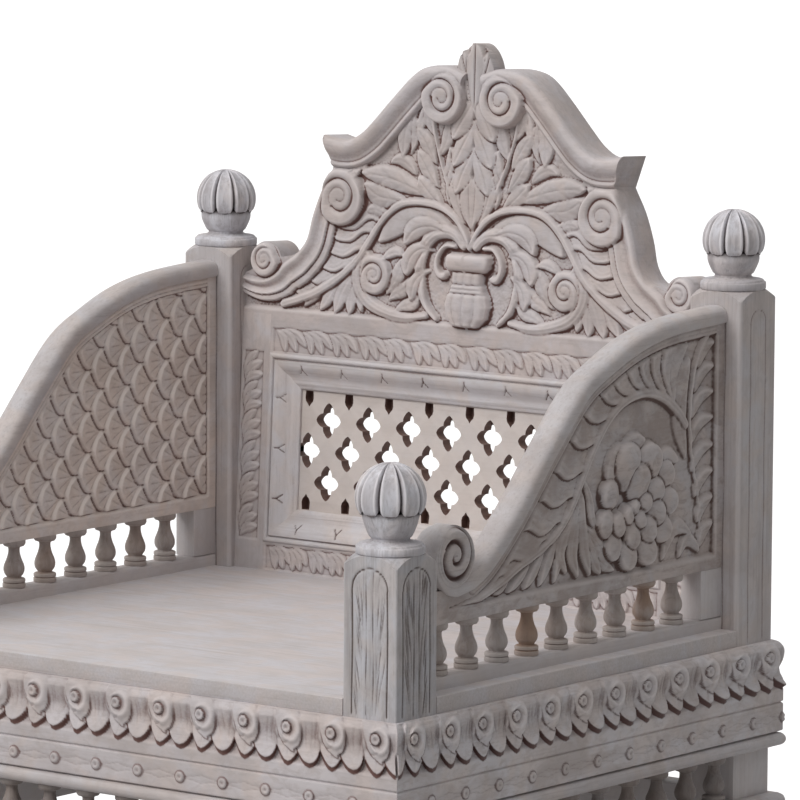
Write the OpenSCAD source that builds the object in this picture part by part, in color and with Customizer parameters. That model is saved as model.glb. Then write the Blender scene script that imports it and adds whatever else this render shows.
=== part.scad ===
// Carved wooden armchair: reclined openwork back under a swan-neck pediment,
// S-curved arms over small turned balusters, and a moulded box base on turned legs.
// X runs across the seat, Y runs to the back, Z = 0 is the floor under the middle.

/* [Seat] */
// Width over the outer faces of the posts
seat_w = 724; // [660:4:800]
// Depth over the outer faces of the posts
seat_d = 628; // [580:4:700]
// Height of the base that the posts stand on
lip_z = 413; // [390:1:450]
// Thickness of the seat boards
seat_t = 17; // [14:1:22]

/* [Posts] */
// Width of a square post
post = 64; // [56:1:72]
// Height of a front post at its corners
front_post_h = 145; // [130:1:165]
// Height of a back post at its corners
back_post_h = 349; // [335:1:360]
// Diameter of the carved ball on a post
ball_d = 67; // [56:1:70]

/* [Back] */
// Lean of the back behind upright, in degrees
lean = 3.1; // [1:0.1:4.5]
// Thickness of the back's rails and stiles
back_t = 30; // [24:1:34]
// Height of the openwork panel's middle above the base
jali_z = 148.5; // [146:0.5:152]
// Spacing of the four-lobed holes
hole_pitch = 53.3; // [50:0.1:56]

/* [Arms] */
// Thickness of the carved arm panel
arm_t = 25; // [20:1:30]
// Width of the handrail
rail_w = 31; // [28:1:36]
// Thickness of the handrail
rail_t = 17; // [14:1:20]
// Number of balusters under an arm
arm_balusters = 9; // [7:1:11]

/* [Base] */
// Height of the carved apron
apron_h = 95; // [85:1:105]
// Height of the row of balusters under the apron
gallery_h = 48; // [42:1:60]
// Height of the rail that ties the legs
tie_h = 46; // [36:1:56]

/* [Hidden] */

WOOD = [0.68, 0.65, 0.63];
SEAT = [0.78, 0.76, 0.74];
AMBER = [0.62, 0.50, 0.40];
DARK = [0.45, 0.38, 0.36];
STEEL = [0.55, 0.55, 0.56];

half_w = seat_w / 2;
half_d = seat_d / 2;
inner_w = seat_w - 2 * post;
inner_d = seat_d - 2 * post;

// The base, from the lip down
board_in = 22;
roll_h = 15;
leg_set = 2;
core = post - board_in;
gallery_top = -apron_h - roll_h;
tie_top = gallery_top - gallery_h;
tie_bottom = tie_top - tie_h;
foot_h = lip_z + tie_bottom;
gallery_pitch = 50;
batten_w = 45;
batten_h = 28;

// The posts
arch_rise = 11;

// The rails of the arms and the back are let into the seat
housing = 2;

// The arms
arm_x = half_w - 19.5 - arm_t / 2;
arm_rail_top = 30;
panel_z = 80;
panel_strip = 13;
panel_stile = 13;
field_cut = 3;
field_gap = 5;
rear_block = 36;
scroll = [-199, 143.7];
scroll_r = 30;
scroll_face = 1;

// The back, measured from the base in the plane of its leaning face
back_y = half_d - post + 8;
top_rail_end = 291;
opening_w = 446;
opening_h = 129;
moulding_w = 37;
moulding_t = 24;
stile_w = (inner_w - opening_w) / 2 - moulding_w;
bottom_rail_top = jali_z - opening_h / 2 - moulding_w;
top_rail_z = jali_z + opening_h / 2 + moulding_w;
jali_set = 12;
jali_t = 10;
tongue = 5;
pediment_t = 35;
ground = 4;
cornice_out = 10;

function smooth(p, n = 5) = [
    for (i = [0 : len(p) - 2])
        for (k = [0 : n - 1])
            let (t = k / n,
                 a = p[max(i - 1, 0)], b = p[i], c = p[i + 1], d = p[min(i + 2, len(p) - 1)])
            0.5 * (2 * b + (c - a) * t + (2 * a - 5 * b + 4 * c - d) * t * t
                   + (3 * b - a - 3 * c + d) * t * t * t),
    p[len(p) - 1]
];

function unit(v) = v / norm(v);
function along(p, i) = unit(p[min(i + 1, len(p) - 1)] - p[max(i - 1, 0)]);
function beside(p, d) = [for (i = [0 : len(p) - 1]) p[i] + d * [along(p, i)[1], -along(p, i)[0]]];
function reversed(p) = [for (i = [len(p) - 1 : -1 : 0]) p[i]];
function turn(c, r0, r1, a0, a1, n) = [
    for (i = [0 : n])
        let (t = i / n, r = r0 + (r1 - r0) * t, a = a0 + (a1 - a0) * t)
        c + r * [cos(a), sin(a)]
];

// A flat band of even width beside a path
module band(path, inner, outer) {
    polygon(concat(beside(path, inner), reversed(beside(path, outer))));
}

// A spiral groove outline that winds in towards an eye
module spiral_line(r0, r1, turns, w) {
    band(turn([0, 0], r0, r1, 0, 360 * turns, round(24 * turns)), -w / 2, w / 2);
}

// A bar along X with 45 degree mitres, its section drawn as [out, up] from the post faces
module mitred_bar(length, section) {
    reach = 20;
    intersection() {
        rotate([90, 0, 90])
            linear_extrude(length + 4 * reach, center = true)
                polygon([for (q = section) [-q[0], q[1]]]);
        translate([0, 0, -500])
            linear_extrude(1000)
                polygon([[-length / 2 - reach, -reach], [length / 2 + reach, -reach],
                         [length / 2 - 60, 60], [-length / 2 + 60, 60]]);
    }
}

// Turns what is drawn for the front to another side of the base
module on_side(side) {
    if (side == "front") translate([0, -half_d, 0]) children();
    if (side == "back") rotate(180) translate([0, -half_d, 0]) children();
    if (side == "right") rotate(90) translate([0, -half_w, 0]) children();
    if (side == "left") rotate(-90) translate([0, -half_w, 0]) children();
}

function side_length(side) = side == "front" || side == "back" ? seat_w : seat_d;

module on_corner(x, y) {
    translate([x * (half_w - post / 2), y * (half_d - post / 2), lip_z]) children();
}

// Base

module leg(x, y) {
    side = post - leg_set;
    foot = smooth([[27, 0], [29, 8], [29, 16], [22, 24], [19, 36], [22, 52], [29, 78],
                   [31, 100], [28, 122], [20, 138], [18, 146], [25, 152], [26, 158]], 3);
    color(WOOD)
        on_corner(x, y) {
            // The core that the apron, the roll and the tie rail are fixed round
            translate([-x * board_in / 2, -y * board_in / 2, tie_bottom / 2])
                cube([core, core, -tie_bottom], center = true);
            translate([-x * leg_set / 2, -y * leg_set / 2, (gallery_top + tie_top) / 2])
                cube([side, side, gallery_h], center = true);
            translate([0, 0, -lip_z])
                rotate_extrude($fn = 48)
                    polygon(concat([[0, 0]], foot, [[27, 160], [27, foot_h - 12], [0, foot_h - 12]]));
            translate([0, 0, tie_bottom - 6])
                cube([side, side, 12], center = true);
        }
}

module apron(side) {
    // Thin lip, leaf torus, cove, flat band
    leaf = smooth([[0, 0], [5, -2.5], [8.4, -8], [9, -14], [7.6, -22], [4.6, -30],
                   [2.5, -36], [3.4, -43], [8.5, -51]], 3);
    band_face = [[8.5, -63], [6.8, -64.5], [8.5, -66], [8.5, -apron_h + 1.5], [5, -apron_h]];
    color(WOOD)
        translate([0, 0, lip_z])
            on_side(side)
                mitred_bar(side_length(side),
                           concat([[-board_in, 0]], leaf, band_face, [[-board_in, -apron_h]]));
}

module roll(side) {
    r = roll_h / 2 - 0.5;
    color(WOOD)
        translate([0, 0, lip_z])
            on_side(side)
                mitred_bar(side_length(side), concat(
                    [[-board_in, -apron_h], [3.5, -apron_h]],
                    turn([4, -apron_h - roll_h / 2], r, r, 80, -80, 10),
                    [[3.5, gallery_top], [-board_in, gallery_top]]));
}

module tie_rail(side) {
    section = smooth([[5, tie_top], [9.5, tie_top - 3], [11, tie_top - 9], [9, tie_top - 16],
                      [5, tie_top - 22], [4, tie_top - 30], [8, tie_top - 36]], 3);
    color(WOOD)
        translate([0, 0, lip_z])
            on_side(side)
                mitred_bar(side_length(side), concat(
                    [[-board_in, tie_top]], section,
                    [[8, tie_bottom], [-board_in, tie_bottom]]));
}

module baluster(h) {
    k = h / 50;
    belly = smooth([[6, 41], [6, 37], [7.4, 31], [10.2, 24], [11, 19.5], [10.2, 15], [7.6, 11.2]], 3);
    rotate_extrude($fn = 32)
        polygon([for (q = concat(
            [[0, 0], [11.6, 0], [12, 1], [12, 4], [11, 5], [11.8, 6], [11.8, 8.6], [10.6, 9.6], [8, 10.2]],
            reversed(belly),
            [[8, 42.5], [10.4, 43.6], [11, 45], [12, 46], [12, 50], [0, 50]])) [q[0], q[1] * k]]);
}

module gallery(side) {
    span = side_length(side) - 2 * post;
    count = round(span / gallery_pitch);
    step = span / count;
    color(WOOD)
        translate([0, 0, lip_z + tie_top])
            on_side(side)
                for (i = [0 : count - 1])
                    translate([(i - (count - 1) / 2) * step, board_in - 13, 0])
                        baluster(gallery_h);
}

// Seat

module seat_board() {
    color(SEAT)
        difference() {
            translate([0, 0, lip_z])
                linear_extrude(seat_t)
                    difference() {
                        square([seat_w, seat_d], center = true);
                        for (x = [-1, 1], y = [-1, 1])
                            translate([x * (half_w - post / 2), y * (half_d - post / 2)])
                                square(post, center = true);
                    }
            for (x = [-1, 1])
                translate([x * arm_x, 0, lip_z + seat_t])
                    cube([arm_t, inner_d, 2 * housing], center = true);
            back_foot();
            screws();
        }
}

module seat_battens() {
    color(WOOD)
        difference() {
            for (x = [-1, 1])
                translate([x * inner_w / 4, 0, lip_z - batten_h / 2])
                    cube([batten_w, seat_d - 2 * board_in, batten_h], center = true);
            screws();
        }
}

// Countersunk screws up through the battens into the seat
module screws() {
    length = batten_h + 9;
    for (x = [-1, 1], y = [-1, 1])
        translate([x * inner_w / 4, y * (half_d - board_in - 30), lip_z - batten_h])
            rotate_extrude($fn = 24)
                polygon([[0, 0], [4.5, 0], [2, 3], [2, length - 3], [0, length]]);
}

module seat_screws() {
    color(STEEL) screws();
}

// Posts and finials

// A square post whose four faces each end in a shallow arch, joined as a cross vault
module arched_top(h) {
    chord = post / 2;
    r = (chord * chord + arch_rise * arch_rise) / (2 * arch_rise);
    for (a = [0, 90])
        rotate(a)
            rotate([90, 0, 0])
                linear_extrude(post, center = true)
                    intersection() {
                        translate([-post / 2, 0]) square([post, h + arch_rise]);
                        union() {
                            translate([-post / 2, 0]) square([post, h]);
                            translate([0, h + arch_rise - r]) circle(r, $fn = 96);
                        }
                    }
}

// An arched, sunk panel with upright flutes, drawn on the face towards -Y
module fluted_panel(w, top, flutes) {
    depth = 1.6;
    flute_r = 3.2;
    step = (w - 6) / flutes;
    translate([0, -post / 2, 0]) {
        translate([0, depth, 0])
            rotate([90, 0, 0])
                linear_extrude(depth + 1) {
                    translate([-w / 2, 0]) square([w, top - w / 2]);
                    translate([0, top - w / 2]) circle(w / 2, $fn = 48);
                }
        for (i = [0 : flutes - 1])
            let (u = (i - (flutes - 1) / 2) * step, rise = sqrt(pow(w / 2 - 4, 2) - u * u))
            translate([u, 0.6, 0]) {
                cylinder(r = flute_r, h = top - w / 2 + rise - 4, $fn = 24);
                translate([0, 0, top - w / 2 + rise - 4]) sphere(flute_r, $fn = 24);
            }
    }
}

module post_front(x) {
    color(WOOD)
        on_corner(x, -1)
            difference() {
                arched_top(front_post_h);
                for (a = [0, 90 * x])
                    rotate(a)
                        translate([0, 0, 8])
                            fluted_panel(48, front_post_h - 6, 5);
                translate([0, 0, front_post_h - 15]) cylinder(d = 14, h = 40, $fn = 32);
            }
}

module post_back(x) {
    color(WOOD)
        on_corner(x, 1)
            difference() {
                arched_top(back_post_h);
                for (a = [90 * x, 180])
                    rotate(a)
                        translate([0, 0, 14])
                            fluted_panel(30, back_post_h - 22, 2);
                translate([0, 0, back_post_h - 15]) cylinder(d = 14, h = 40, $fn = 32);
            }
}

// Lobed ball of petals, closed below by a flat ring that the cup runs into.
// Each petal has a rounded cross-section and a rounded lower end.
module lotus(r, petals, skirt) {
    per = 4;
    n = petals * per;
    groove = 0.09;
    lift = 0.2 * r;
    low = asin(skirt / r);
    rings = 9;
    function valley(k) = pow(abs(cos(180 * k / per)), 3);
    function ring(j) = let (lat = low + (84 - low) * j / (rings - 1)) [
        for (k = [0 : n - 1])
            let (v = valley(k), q = r * (1 - groove * v * cos(lat)), a = 360 * k / n,
                 up = max(r * sin(lat), skirt + lift * v * (j == 0 ? 1 : 0.9)))
            [q * cos(lat) * cos(a), q * cos(lat) * sin(a), up]
    ];
    points = concat(
        [for (k = [0 : n - 1]) 0.84 * r * [cos(360 * k / n), sin(360 * k / n), 0] + [0, 0, skirt + 2]],
        [for (j = [0 : rings - 1]) each ring(j)],
        [[0, 0, r]]);
    polyhedron(points, concat(
        [[for (k = [0 : n - 1]) k]],
        [for (j = [0 : rings - 1]) for (k = [0 : n - 1])
            let (a = j * n + k, b = j * n + (k + 1) % n)
            each [[a, b + n, b], [a, a + n, b + n]]],
        [for (k = [0 : n - 1]) [rings * n + k, (rings + 1) * n, rings * n + (k + 1) % n]]));
}

// A lotus bud over a plain cup, on a neck and a collar
module finial(x, y, base, height, d) {
    r = d / 2;
    middle = height - r;
    skirt = -0.47 * r;
    cup_top = middle + skirt + 4;
    color(WOOD)
        on_corner(x, y)
            translate([0, 0, base])
                difference() {
                    union() {
                        translate([0, 0, middle]) lotus(r, 12, skirt);
                        rotate_extrude($fn = 64)
                            polygon(concat(
                                [[0, 0], [32, 0], [33, 1.5], [33, 7], [31.5, 8.5], [22, 9.2]],
                                smooth([[18.5, 12], [18.2, 15], [20, 18.5], [24, 0.5 * (cup_top + 18.5)],
                                        [0.8 * r, cup_top]], 3),
                                [[0, cup_top]]));
                    }
                    translate([0, 0, -1]) cylinder(d = 14, h = 31, $fn = 32);
                }
}

module finial_dowels() {
    color(DARK)
        for (x = [-1, 1], y = [-1, 1])
            on_corner(x, y)
                translate([0, 0, (y < 0 ? front_post_h : back_post_h) - 15])
                    cylinder(d = 14, h = 56 - (y < 0 ? 0 : 3), $fn = 32);
}

// Arms

// Underside of the handrail in [y, z], from the back post down to the scroll
RAIL_LINE = concat(
    smooth([[250, 329], [164, 324], [105, 313], [54, 294], [14, 273], [-34, 226],
            [-88, 169], [-136, 126], [-168, 109]], 5),
    turn(scroll, 39.5, 28.5, -84, -210, 14)
);
rail_run = 5 * 8;

module on_arm(x) {
    translate([x * arm_x, 0, lip_z]) children();
}

// Stands a drawing in [y, z] on its edge, t thick about the arm's middle plane
module upright(t) {
    rotate([90, 0, 90]) linear_extrude(t, center = true) children();
}

module arm_rail(x) {
    color(WOOD)
        on_arm(x)
            translate([0, 0, arm_rail_top])
                rotate([90, 0, 0])
                    linear_extrude(inner_d, center = true)
                        polygon([[-arm_t / 2, seat_t - housing - arm_rail_top],
                                 [arm_t / 2, seat_t - housing - arm_rail_top],
                                 [arm_t / 2, -3], [arm_t / 2 - 3, 0],
                                 [-arm_t / 2 + 3, 0], [-arm_t / 2, -3]]);
}

module arm_block(x) {
    color(WOOD)
        on_arm(x)
            translate([-arm_t / 2, inner_d / 2 - rear_block, arm_rail_top])
                cube([arm_t, rear_block, panel_z - arm_rail_top]);
}

module arm_baluster_row(x) {
    run = inner_d - rear_block;
    step = run / (arm_balusters + 0.5);
    color(x > 0 ? AMBER : WOOD)
        on_arm(x)
            for (i = [0 : arm_balusters - 1])
                translate([0, -inner_d / 2 + (i + 0.8) * step, arm_rail_top])
                    baluster(panel_z - arm_rail_top);
}

module arm_outline() {
    last = rail_run + 7;
    polygon(concat(
        [for (i = [0 : last]) RAIL_LINE[i]],
        [[-inner_d / 2, RAIL_LINE[last][1]], [-inner_d / 2, panel_z], [inner_d / 2, panel_z]]));
}

// The sunk field that holds the carving, inside the strip, the stile and the rail's double line
module arm_field() {
    edge = beside([for (i = [0 : rail_run]) RAIL_LINE[i]], -field_gap);
    intersection() {
        polygon(concat(edge, [[-186, panel_z + panel_strip], [inner_d / 2, panel_z + panel_strip]]));
        translate([-300, panel_z + panel_strip])
            square([300 + inner_d / 2 - panel_stile, 400]);
    }
}

module rose() {
    rings = [[10, 40, 15, 3.4], [8, 25, 12, 5.0], [5, 12, 8.5, 6.6]];
    for (g = rings)
        for (i = [0 : g[0] - 1])
            rotate(i * 360 / g[0])
                translate([g[1], 0, 0])
                    cylinder(r1 = g[2], r2 = 0.7 * g[2], h = g[3], $fn = 24);
    cylinder(r1 = 8, r2 = 5, h = 8, $fn = 24);
}

module arm_panel(x) {
    rose_at = [100, 165];
    face = arm_t / 2 - field_cut;
    color(WOOD)
        on_arm(x) {
            difference() {
                upright(arm_t) arm_outline();
                for (s = [-1, 1])
                    translate([s * (face + 5), 0, 0]) upright(10) arm_field();
            }
            // The rose on the outer face
            translate([x * (face - 0.5), rose_at[0], rose_at[1]])
                rotate([0, 90 * x, 0]) rose();
        }
}

// Cross-section of the handrail as [across, up from the underside], flat below and round above
function rail_section() = [
    [-rail_w / 2, 0], [rail_w / 2, 0], [rail_w / 2, 0.5 * rail_t], [0.44 * rail_w, 0.76 * rail_t],
    [0.30 * rail_w, 0.94 * rail_t], [0, rail_t], [-0.30 * rail_w, 0.94 * rail_t],
    [-0.44 * rail_w, 0.76 * rail_t], [-rail_w / 2, 0.5 * rail_t]
];

module handrail_sweep() {
    s = rail_section();
    n = len(s);
    m = len(RAIL_LINE);
    points = [
        for (i = [0 : m - 1])
            let (a = along(RAIL_LINE, i), up = [a[1], -a[0]])
            for (q = s) [q[0], RAIL_LINE[i][0] + q[1] * up[0], RAIL_LINE[i][1] + q[1] * up[1]]
    ];
    sides = [
        for (i = [0 : m - 2]) for (k = [0 : n - 1])
            let (a = i * n + k, b = i * n + (k + 1) % n)
            each [[a, b + n, b], [a, a + n, b + n]]
    ];
    polyhedron(points, concat(sides,
        [[for (k = [0 : n - 1]) k]], [[for (k = [n - 1 : -1 : 0]) (m - 1) * n + k]]));
}

module handrail(x) {
    width = rail_w + 2 * scroll_face;
    color(WOOD)
        on_arm(x) {
            handrail_sweep();
            translate([0, scroll[0], scroll[1]])
                rotate([90, 0, 90])
                    difference() {
                        cylinder(r = scroll_r, h = width, center = true, $fn = 64);
                        for (s = [0, 1])
                            mirror([0, 0, s])
                                translate([0, 0, width / 2 - 1.5])
                                    linear_extrude(3) rotate(-60) spiral_line(24, 8, 1.4, 3);
                    }
        }
}

// Back

// Places what is drawn upright, with its face at y = 0, in the leaning plane of the back
module on_back() {
    translate([0, back_y, lip_z + seat_t])
        rotate([-lean, 0, 0])
            translate([0, 0, -seat_t])
                children();
}

module back_slab(x0, x1, z0, z1) {
    translate([x0, 0, z0]) cube([x1 - x0, back_t, z1 - z0]);
}

// Cuts the foot of a leaning piece level with the bottom of its housing in the seat
module cut_at_seat() {
    difference() {
        children();
        translate([-half_w, 0, lip_z + seat_t - housing - 50]) cube([seat_w, half_d, 50]);
    }
}

// The lowest part of the back, for the housing in the seat
module back_foot() {
    cut_at_seat() on_back() back_slab(-inner_w / 2, inner_w / 2, seat_t - 2 * housing, seat_t + 10);
}

module back_bottom_rail() {
    side = inner_w / 2 - stile_w;
    color(WOOD)
        cut_at_seat() on_back() back_slab(-side, side, seat_t - 2 * housing, bottom_rail_top);
}

module back_top_rail() {
    side = inner_w / 2 - stile_w;
    color(WOOD)
        on_back() back_slab(-side, side, top_rail_z, top_rail_end);
}

module back_stile(x) {
    color(WOOD)
        cut_at_seat()
            on_back()
                translate([x * (inner_w - stile_w) / 2, 0, 0])
                    back_slab(-stile_w / 2, stile_w / 2, seat_t - 2 * housing, top_rail_end);
}

// One side of the mitred inner frame, drawn flat and turned into its place round the opening
module frame_moulding(side) {
    wide = side == "top" || side == "bottom";
    length = (wide ? opening_w : opening_h) + 2 * moulding_w;
    away = (wide ? opening_h : opening_w) / 2 + moulding_w;
    angle = side == "top" ? 180 : side == "bottom" ? 0 : side == "right" ? 90 : -90;
    ogee = [for (i = [0 : 12])
        let (t = i / 12)
        [-8 - t * (moulding_w - 14), 1.5 - 8 * t + 1.2 * sin(360 * t)]];
    // Bead, ogee and a thin inner lip with a rebate behind it for the openwork panel
    section = concat(
        [[0, -moulding_t], [0, -1]],
        turn([-3, -1], 3, 3, 0, 180, 8),
        ogee,
        [[-moulding_w + 4, -jali_set + 3], [-moulding_w, -jali_set + 2], [-moulding_w, -jali_set],
         [-moulding_w + tongue, -jali_set], [-moulding_w + tongue, -moulding_t]]);
    color(WOOD)
        on_back()
            translate([0, 0, jali_z])
                rotate([90, 0, 0])
                    rotate(angle)
                        translate([0, -away, 0])
                            mitred_bar(length, section);
}

module quatrefoil() {
    lobe = 7;
    half_point = 3.5;
    circle(lobe + 1.5, $fn = 32);
    for (s = [-1, 1]) {
        translate([s * lobe, 0]) circle(lobe, $fn = 32);
        translate([0, s * (lobe + 1)]) circle(lobe - 0.5, $fn = 32);
        // The upper and lower lobes end in a point
        polygon([[-half_point, s * (2 * lobe - 1)], [half_point, s * (2 * lobe - 1)],
                 [0, s * (2 * lobe + 2.5)]]);
    }
}

module jali_panel() {
    row = 33.5;
    w = opening_w + 2 * tongue;
    h = opening_h + 2 * tongue;
    color(WOOD)
        on_back()
            translate([0, jali_set + jali_t, jali_z])
                rotate([90, 0, 0])
                    difference() {
                        translate([-w / 2, -h / 2, 0]) cube([w, h, jali_t]);
                        translate([0, 0, -1])
                            linear_extrude(jali_t + 2)
                                intersection() {
                                    square([opening_w - 8, opening_h - 6], center = true);
                                    for (j = [-2 : 2], i = [-4.5 : 0.5 : 4.5])
                                        if ((2 * i) % 2 == 0 ? j % 2 == 0 : j % 2 != 0)
                                            translate([i * hole_pitch, j * row]) quatrefoil();
                                }
                    }
}

// Pediment

// Outer edge of the shoulder in [x, z], from under the cornice down to the end volute
SHOULDER = smooth([[176, 470], [184, 452], [198, 428], [209, 400], [216, 374], [229, 358], [252, 352]], 4);
// Top edge of the swan-neck cornice in [x, z], from its volute out to the tip
NECK = smooth([[10, 560], [34, 567], [62, 563], [80, 552], [102, 530], [128, 504],
               [143, 490], [160, 482], [184, 484]], 4);
neck_t = 27;
neck_volute = [38, 533];
shoulder_volute = [170, 421];
end_volute = [270, 348];

module pediment_outline() {
    for (s = [0, 1])
        mirror([s, 0])
            union() {
                polygon(concat([[0, top_rail_end], [inner_w / 2, top_rail_end], [inner_w / 2, 333]],
                               reversed(SHOULDER), [[0, 470]]));
                translate(end_volute) circle(20, $fn = 48);
                polygon([[-0.5, 460], [140, 460], [110, 505], [75, 540], [40, 560], [-0.5, 548]]);
            }
}

// A scroll carved as a disc that stands proud of the face, its back sunk by root
module relief_disc(at, r, root, proud, turns) {
    translate([at[0], 0, at[1]])
        rotate([90, 0, 0])
            difference() {
                translate([0, 0, -root]) cylinder(r = r, h = proud + root, $fn = 48);
                translate([0, 0, proud - 2])
                    linear_extrude(4) spiral_line(0.82 * r, 0.28 * r, turns, 0.12 * r);
            }
}

module vase() {
    profile = smooth([[14, 297], [27, 306], [31, 322], [28, 335], [17, 341], [16, 352],
                      [21, 361], [27, 367], [25, 373]], 3);
    intersection() {
        rotate_extrude($fn = 48)
            polygon(concat([[0, 297]], profile, [[0, 373]]));
        translate([-40, -14, 290]) cube([80, 14 + ground + 1, 90]);
    }
}

module pediment_panel() {
    color(WOOD)
        on_back() {
            difference() {
                translate([0, pediment_t, 0])
                    rotate([90, 0, 0]) linear_extrude(pediment_t) pediment_outline();
                // Sunk ground of the carving
                translate([0, ground, 0])
                    rotate([90, 0, 0])
                        linear_extrude(2 * ground)
                            for (s = [0, 1])
                                mirror([s, 0])
                                    polygon(concat(
                                        [[0, 300], [196, 300]],
                                        reversed(beside(SHOULDER, 34)),
                                        [[130, 450], [0, 500]]));
            }
            for (s = [0, 1])
                mirror([s, 0, 0]) {
                    relief_disc(shoulder_volute, 31, ground + 1, 7, 1.5);
                    relief_disc(end_volute, 19, ground + 1, 5, 1.2);
                    translate([0, ground + 1, 0])
                        rotate([90, 0, 0])
                            linear_extrude(ground + 4) band(SHOULDER, 33, 24);
                }
            vase();
        }
}

// Half of the swan-neck: three stepped bands in front of the face, and a solid top over the panel
module cornice(x) {
    step = neck_t / 3;
    color(WOOD)
        on_back()
            mirror([x < 0 ? 1 : 0, 0, 0]) {
                for (i = [0 : 2])
                    rotate([90, 0, 0])
                        linear_extrude(cornice_out - 3 * i) band(NECK, 0, (i + 1) * step);
                translate([0, pediment_t, 0])
                    rotate([90, 0, 0])
                        linear_extrude(pediment_t)
                            difference() {
                                band(NECK, 0, neck_t);
                                pediment_outline();
                            }
                relief_disc(neck_volute, 22, 0, cornice_out + 2, 1.3);
            }
}

module crest_leaf() {
    color(WOOD)
        on_back()
            translate([0, pediment_t, 0])
                rotate([90, 0, 0])
                    linear_extrude(16)
                        difference() {
                            union() {
                                for (a = [-60, -30, 0, 30, 60])
                                    translate([0, 558])
                                        rotate(-a) translate([0, 25 - abs(a) / 14]) circle(8.5, $fn = 32);
                                translate([0, 558]) circle(21, $fn = 48);
                            }
                            pediment_outline();
                            for (s = [0, 1])
                                mirror([s, 0]) band(NECK, 0, neck_t);
                        }
}

leg(-1, -1);  // leg_front_left
leg(1, -1);  // leg_front_right
leg(-1, 1);  // leg_back_left
leg(1, 1);  // leg_back_right
tie_rail("front");  // tie_rail_front
tie_rail("back");  // tie_rail_back
tie_rail("left");  // tie_rail_left
tie_rail("right");  // tie_rail_right
gallery("front");  // gallery_front
gallery("back");  // gallery_back
gallery("left");  // gallery_left
gallery("right");  // gallery_right
roll("front");  // roll_front
roll("back");  // roll_back
roll("left");  // roll_left
roll("right");  // roll_right
apron("front");  // apron_front
apron("back");  // apron_back
apron("left");  // apron_left
apron("right");  // apron_right
seat_board();
seat_battens();
post_front(-1);  // post_front_left
post_front(1);  // post_front_right
post_back(-1);  // post_back_left
post_back(1);  // post_back_right
finial(-1, -1, front_post_h + arch_rise, 86, ball_d);  // finial_front_left
finial(1, -1, front_post_h + arch_rise, 86, ball_d);  // finial_front_right
finial(-1, 1, back_post_h + arch_rise, 80, ball_d - 5);  // finial_back_left
finial(1, 1, back_post_h + arch_rise, 80, ball_d - 5);  // finial_back_right
arm_rail(-1);  // arm_rail_left
arm_rail(1);  // arm_rail_right
arm_block(-1);  // arm_block_left
arm_block(1);  // arm_block_right
arm_baluster_row(-1);  // arm_balusters_left
arm_baluster_row(1);  // arm_balusters_right
arm_panel(-1);  // arm_panel_left
arm_panel(1);  // arm_panel_right
handrail(-1);  // handrail_left
handrail(1);  // handrail_right
back_bottom_rail();
back_top_rail();
back_stile(-1);  // back_stile_left
back_stile(1);  // back_stile_right
frame_moulding("top");  // frame_moulding_top
frame_moulding("bottom");  // frame_moulding_bottom
frame_moulding("left");  // frame_moulding_left
frame_moulding("right");  // frame_moulding_right
jali_panel();
pediment_panel();
cornice(-1);  // cornice_left
cornice(1);  // cornice_right
crest_leaf();
finial_dowels();
seat_screws();
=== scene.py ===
# %% [markdown]
# # A carved armchair
# The chair is limewashed hardwood: a moulded box on turned legs, S-curved arms over small balusters, and a leaning
# openwork back under a swan-neck pediment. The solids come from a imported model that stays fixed, and each cell below
# dresses one part of it with the carving and the worn wash that the solids leave out.

# %% Load the fixed model
import math

import bmesh
import bpy
import numpy as np
from mathutils import Matrix, Vector


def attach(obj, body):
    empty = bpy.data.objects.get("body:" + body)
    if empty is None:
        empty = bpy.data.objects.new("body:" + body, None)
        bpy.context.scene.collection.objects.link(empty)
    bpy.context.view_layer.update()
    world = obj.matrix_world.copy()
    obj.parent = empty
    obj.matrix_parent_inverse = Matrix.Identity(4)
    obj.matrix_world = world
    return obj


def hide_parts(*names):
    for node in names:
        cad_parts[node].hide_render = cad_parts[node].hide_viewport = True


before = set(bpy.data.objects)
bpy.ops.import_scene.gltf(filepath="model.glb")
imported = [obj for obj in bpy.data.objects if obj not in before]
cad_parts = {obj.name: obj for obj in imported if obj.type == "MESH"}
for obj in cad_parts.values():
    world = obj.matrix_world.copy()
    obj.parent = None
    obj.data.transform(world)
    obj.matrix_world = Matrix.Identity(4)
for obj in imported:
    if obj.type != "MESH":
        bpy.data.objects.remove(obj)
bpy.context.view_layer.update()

# %% [markdown]
# Sizes are written in millimetres, with heights counted from the lip, the level top of the base that the posts stand
# on. One function turns such points into Blender's metres above the floor, so every other cell can think in
# millimetres.

# %% Sizes shared by many pieces
LIP = 413.0
SEAT_W, SEAT_D, SEAT_T = 724.0, 628.0, 17.0
HALF_W, HALF_D = SEAT_W / 2, SEAT_D / 2
POST = 64.0
ARCH_RISE = 11.0
LEAN = math.radians(3.1)
BACK_Y = HALF_D - POST + 8
rng = np.random.default_rng(7)


def metres(points):
    """Millimetres from the lip to metres from the floor."""
    return (np.asarray(points, float) + [0, 0, LIP]) * 0.001


def on_back(points):
    """Places points drawn as [across, out of the face, up] in the leaning plane of the back."""
    p = np.asarray(points, float)
    up = p[..., 2] - SEAT_T
    y = BACK_Y - p[..., 1] * math.cos(LEAN) + up * math.sin(LEAN)
    z = SEAT_T + up * math.cos(LEAN) + p[..., 1] * math.sin(LEAN)
    return np.stack([p[..., 0], y, z], -1)


# %% [markdown]
# The photograph was taken with a long lens from the chair's front right. These angles and distances come from a fit
# of a pinhole camera to the box's edges and the posts, so the render and the photograph line up. The lens is long
# enough that near and far parts keep almost the same size.

# %% Camera
AZIMUTH, ELEVATION, ROLL = (math.radians(a) for a in (37.5532, 7.3074, 0.3459))
FOCAL_PX, DISTANCE, SHIFT_X, SHIFT_Y, PHOTO_PX = 6460.43, 6548.204, -99.27, -244.319, 800

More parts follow.
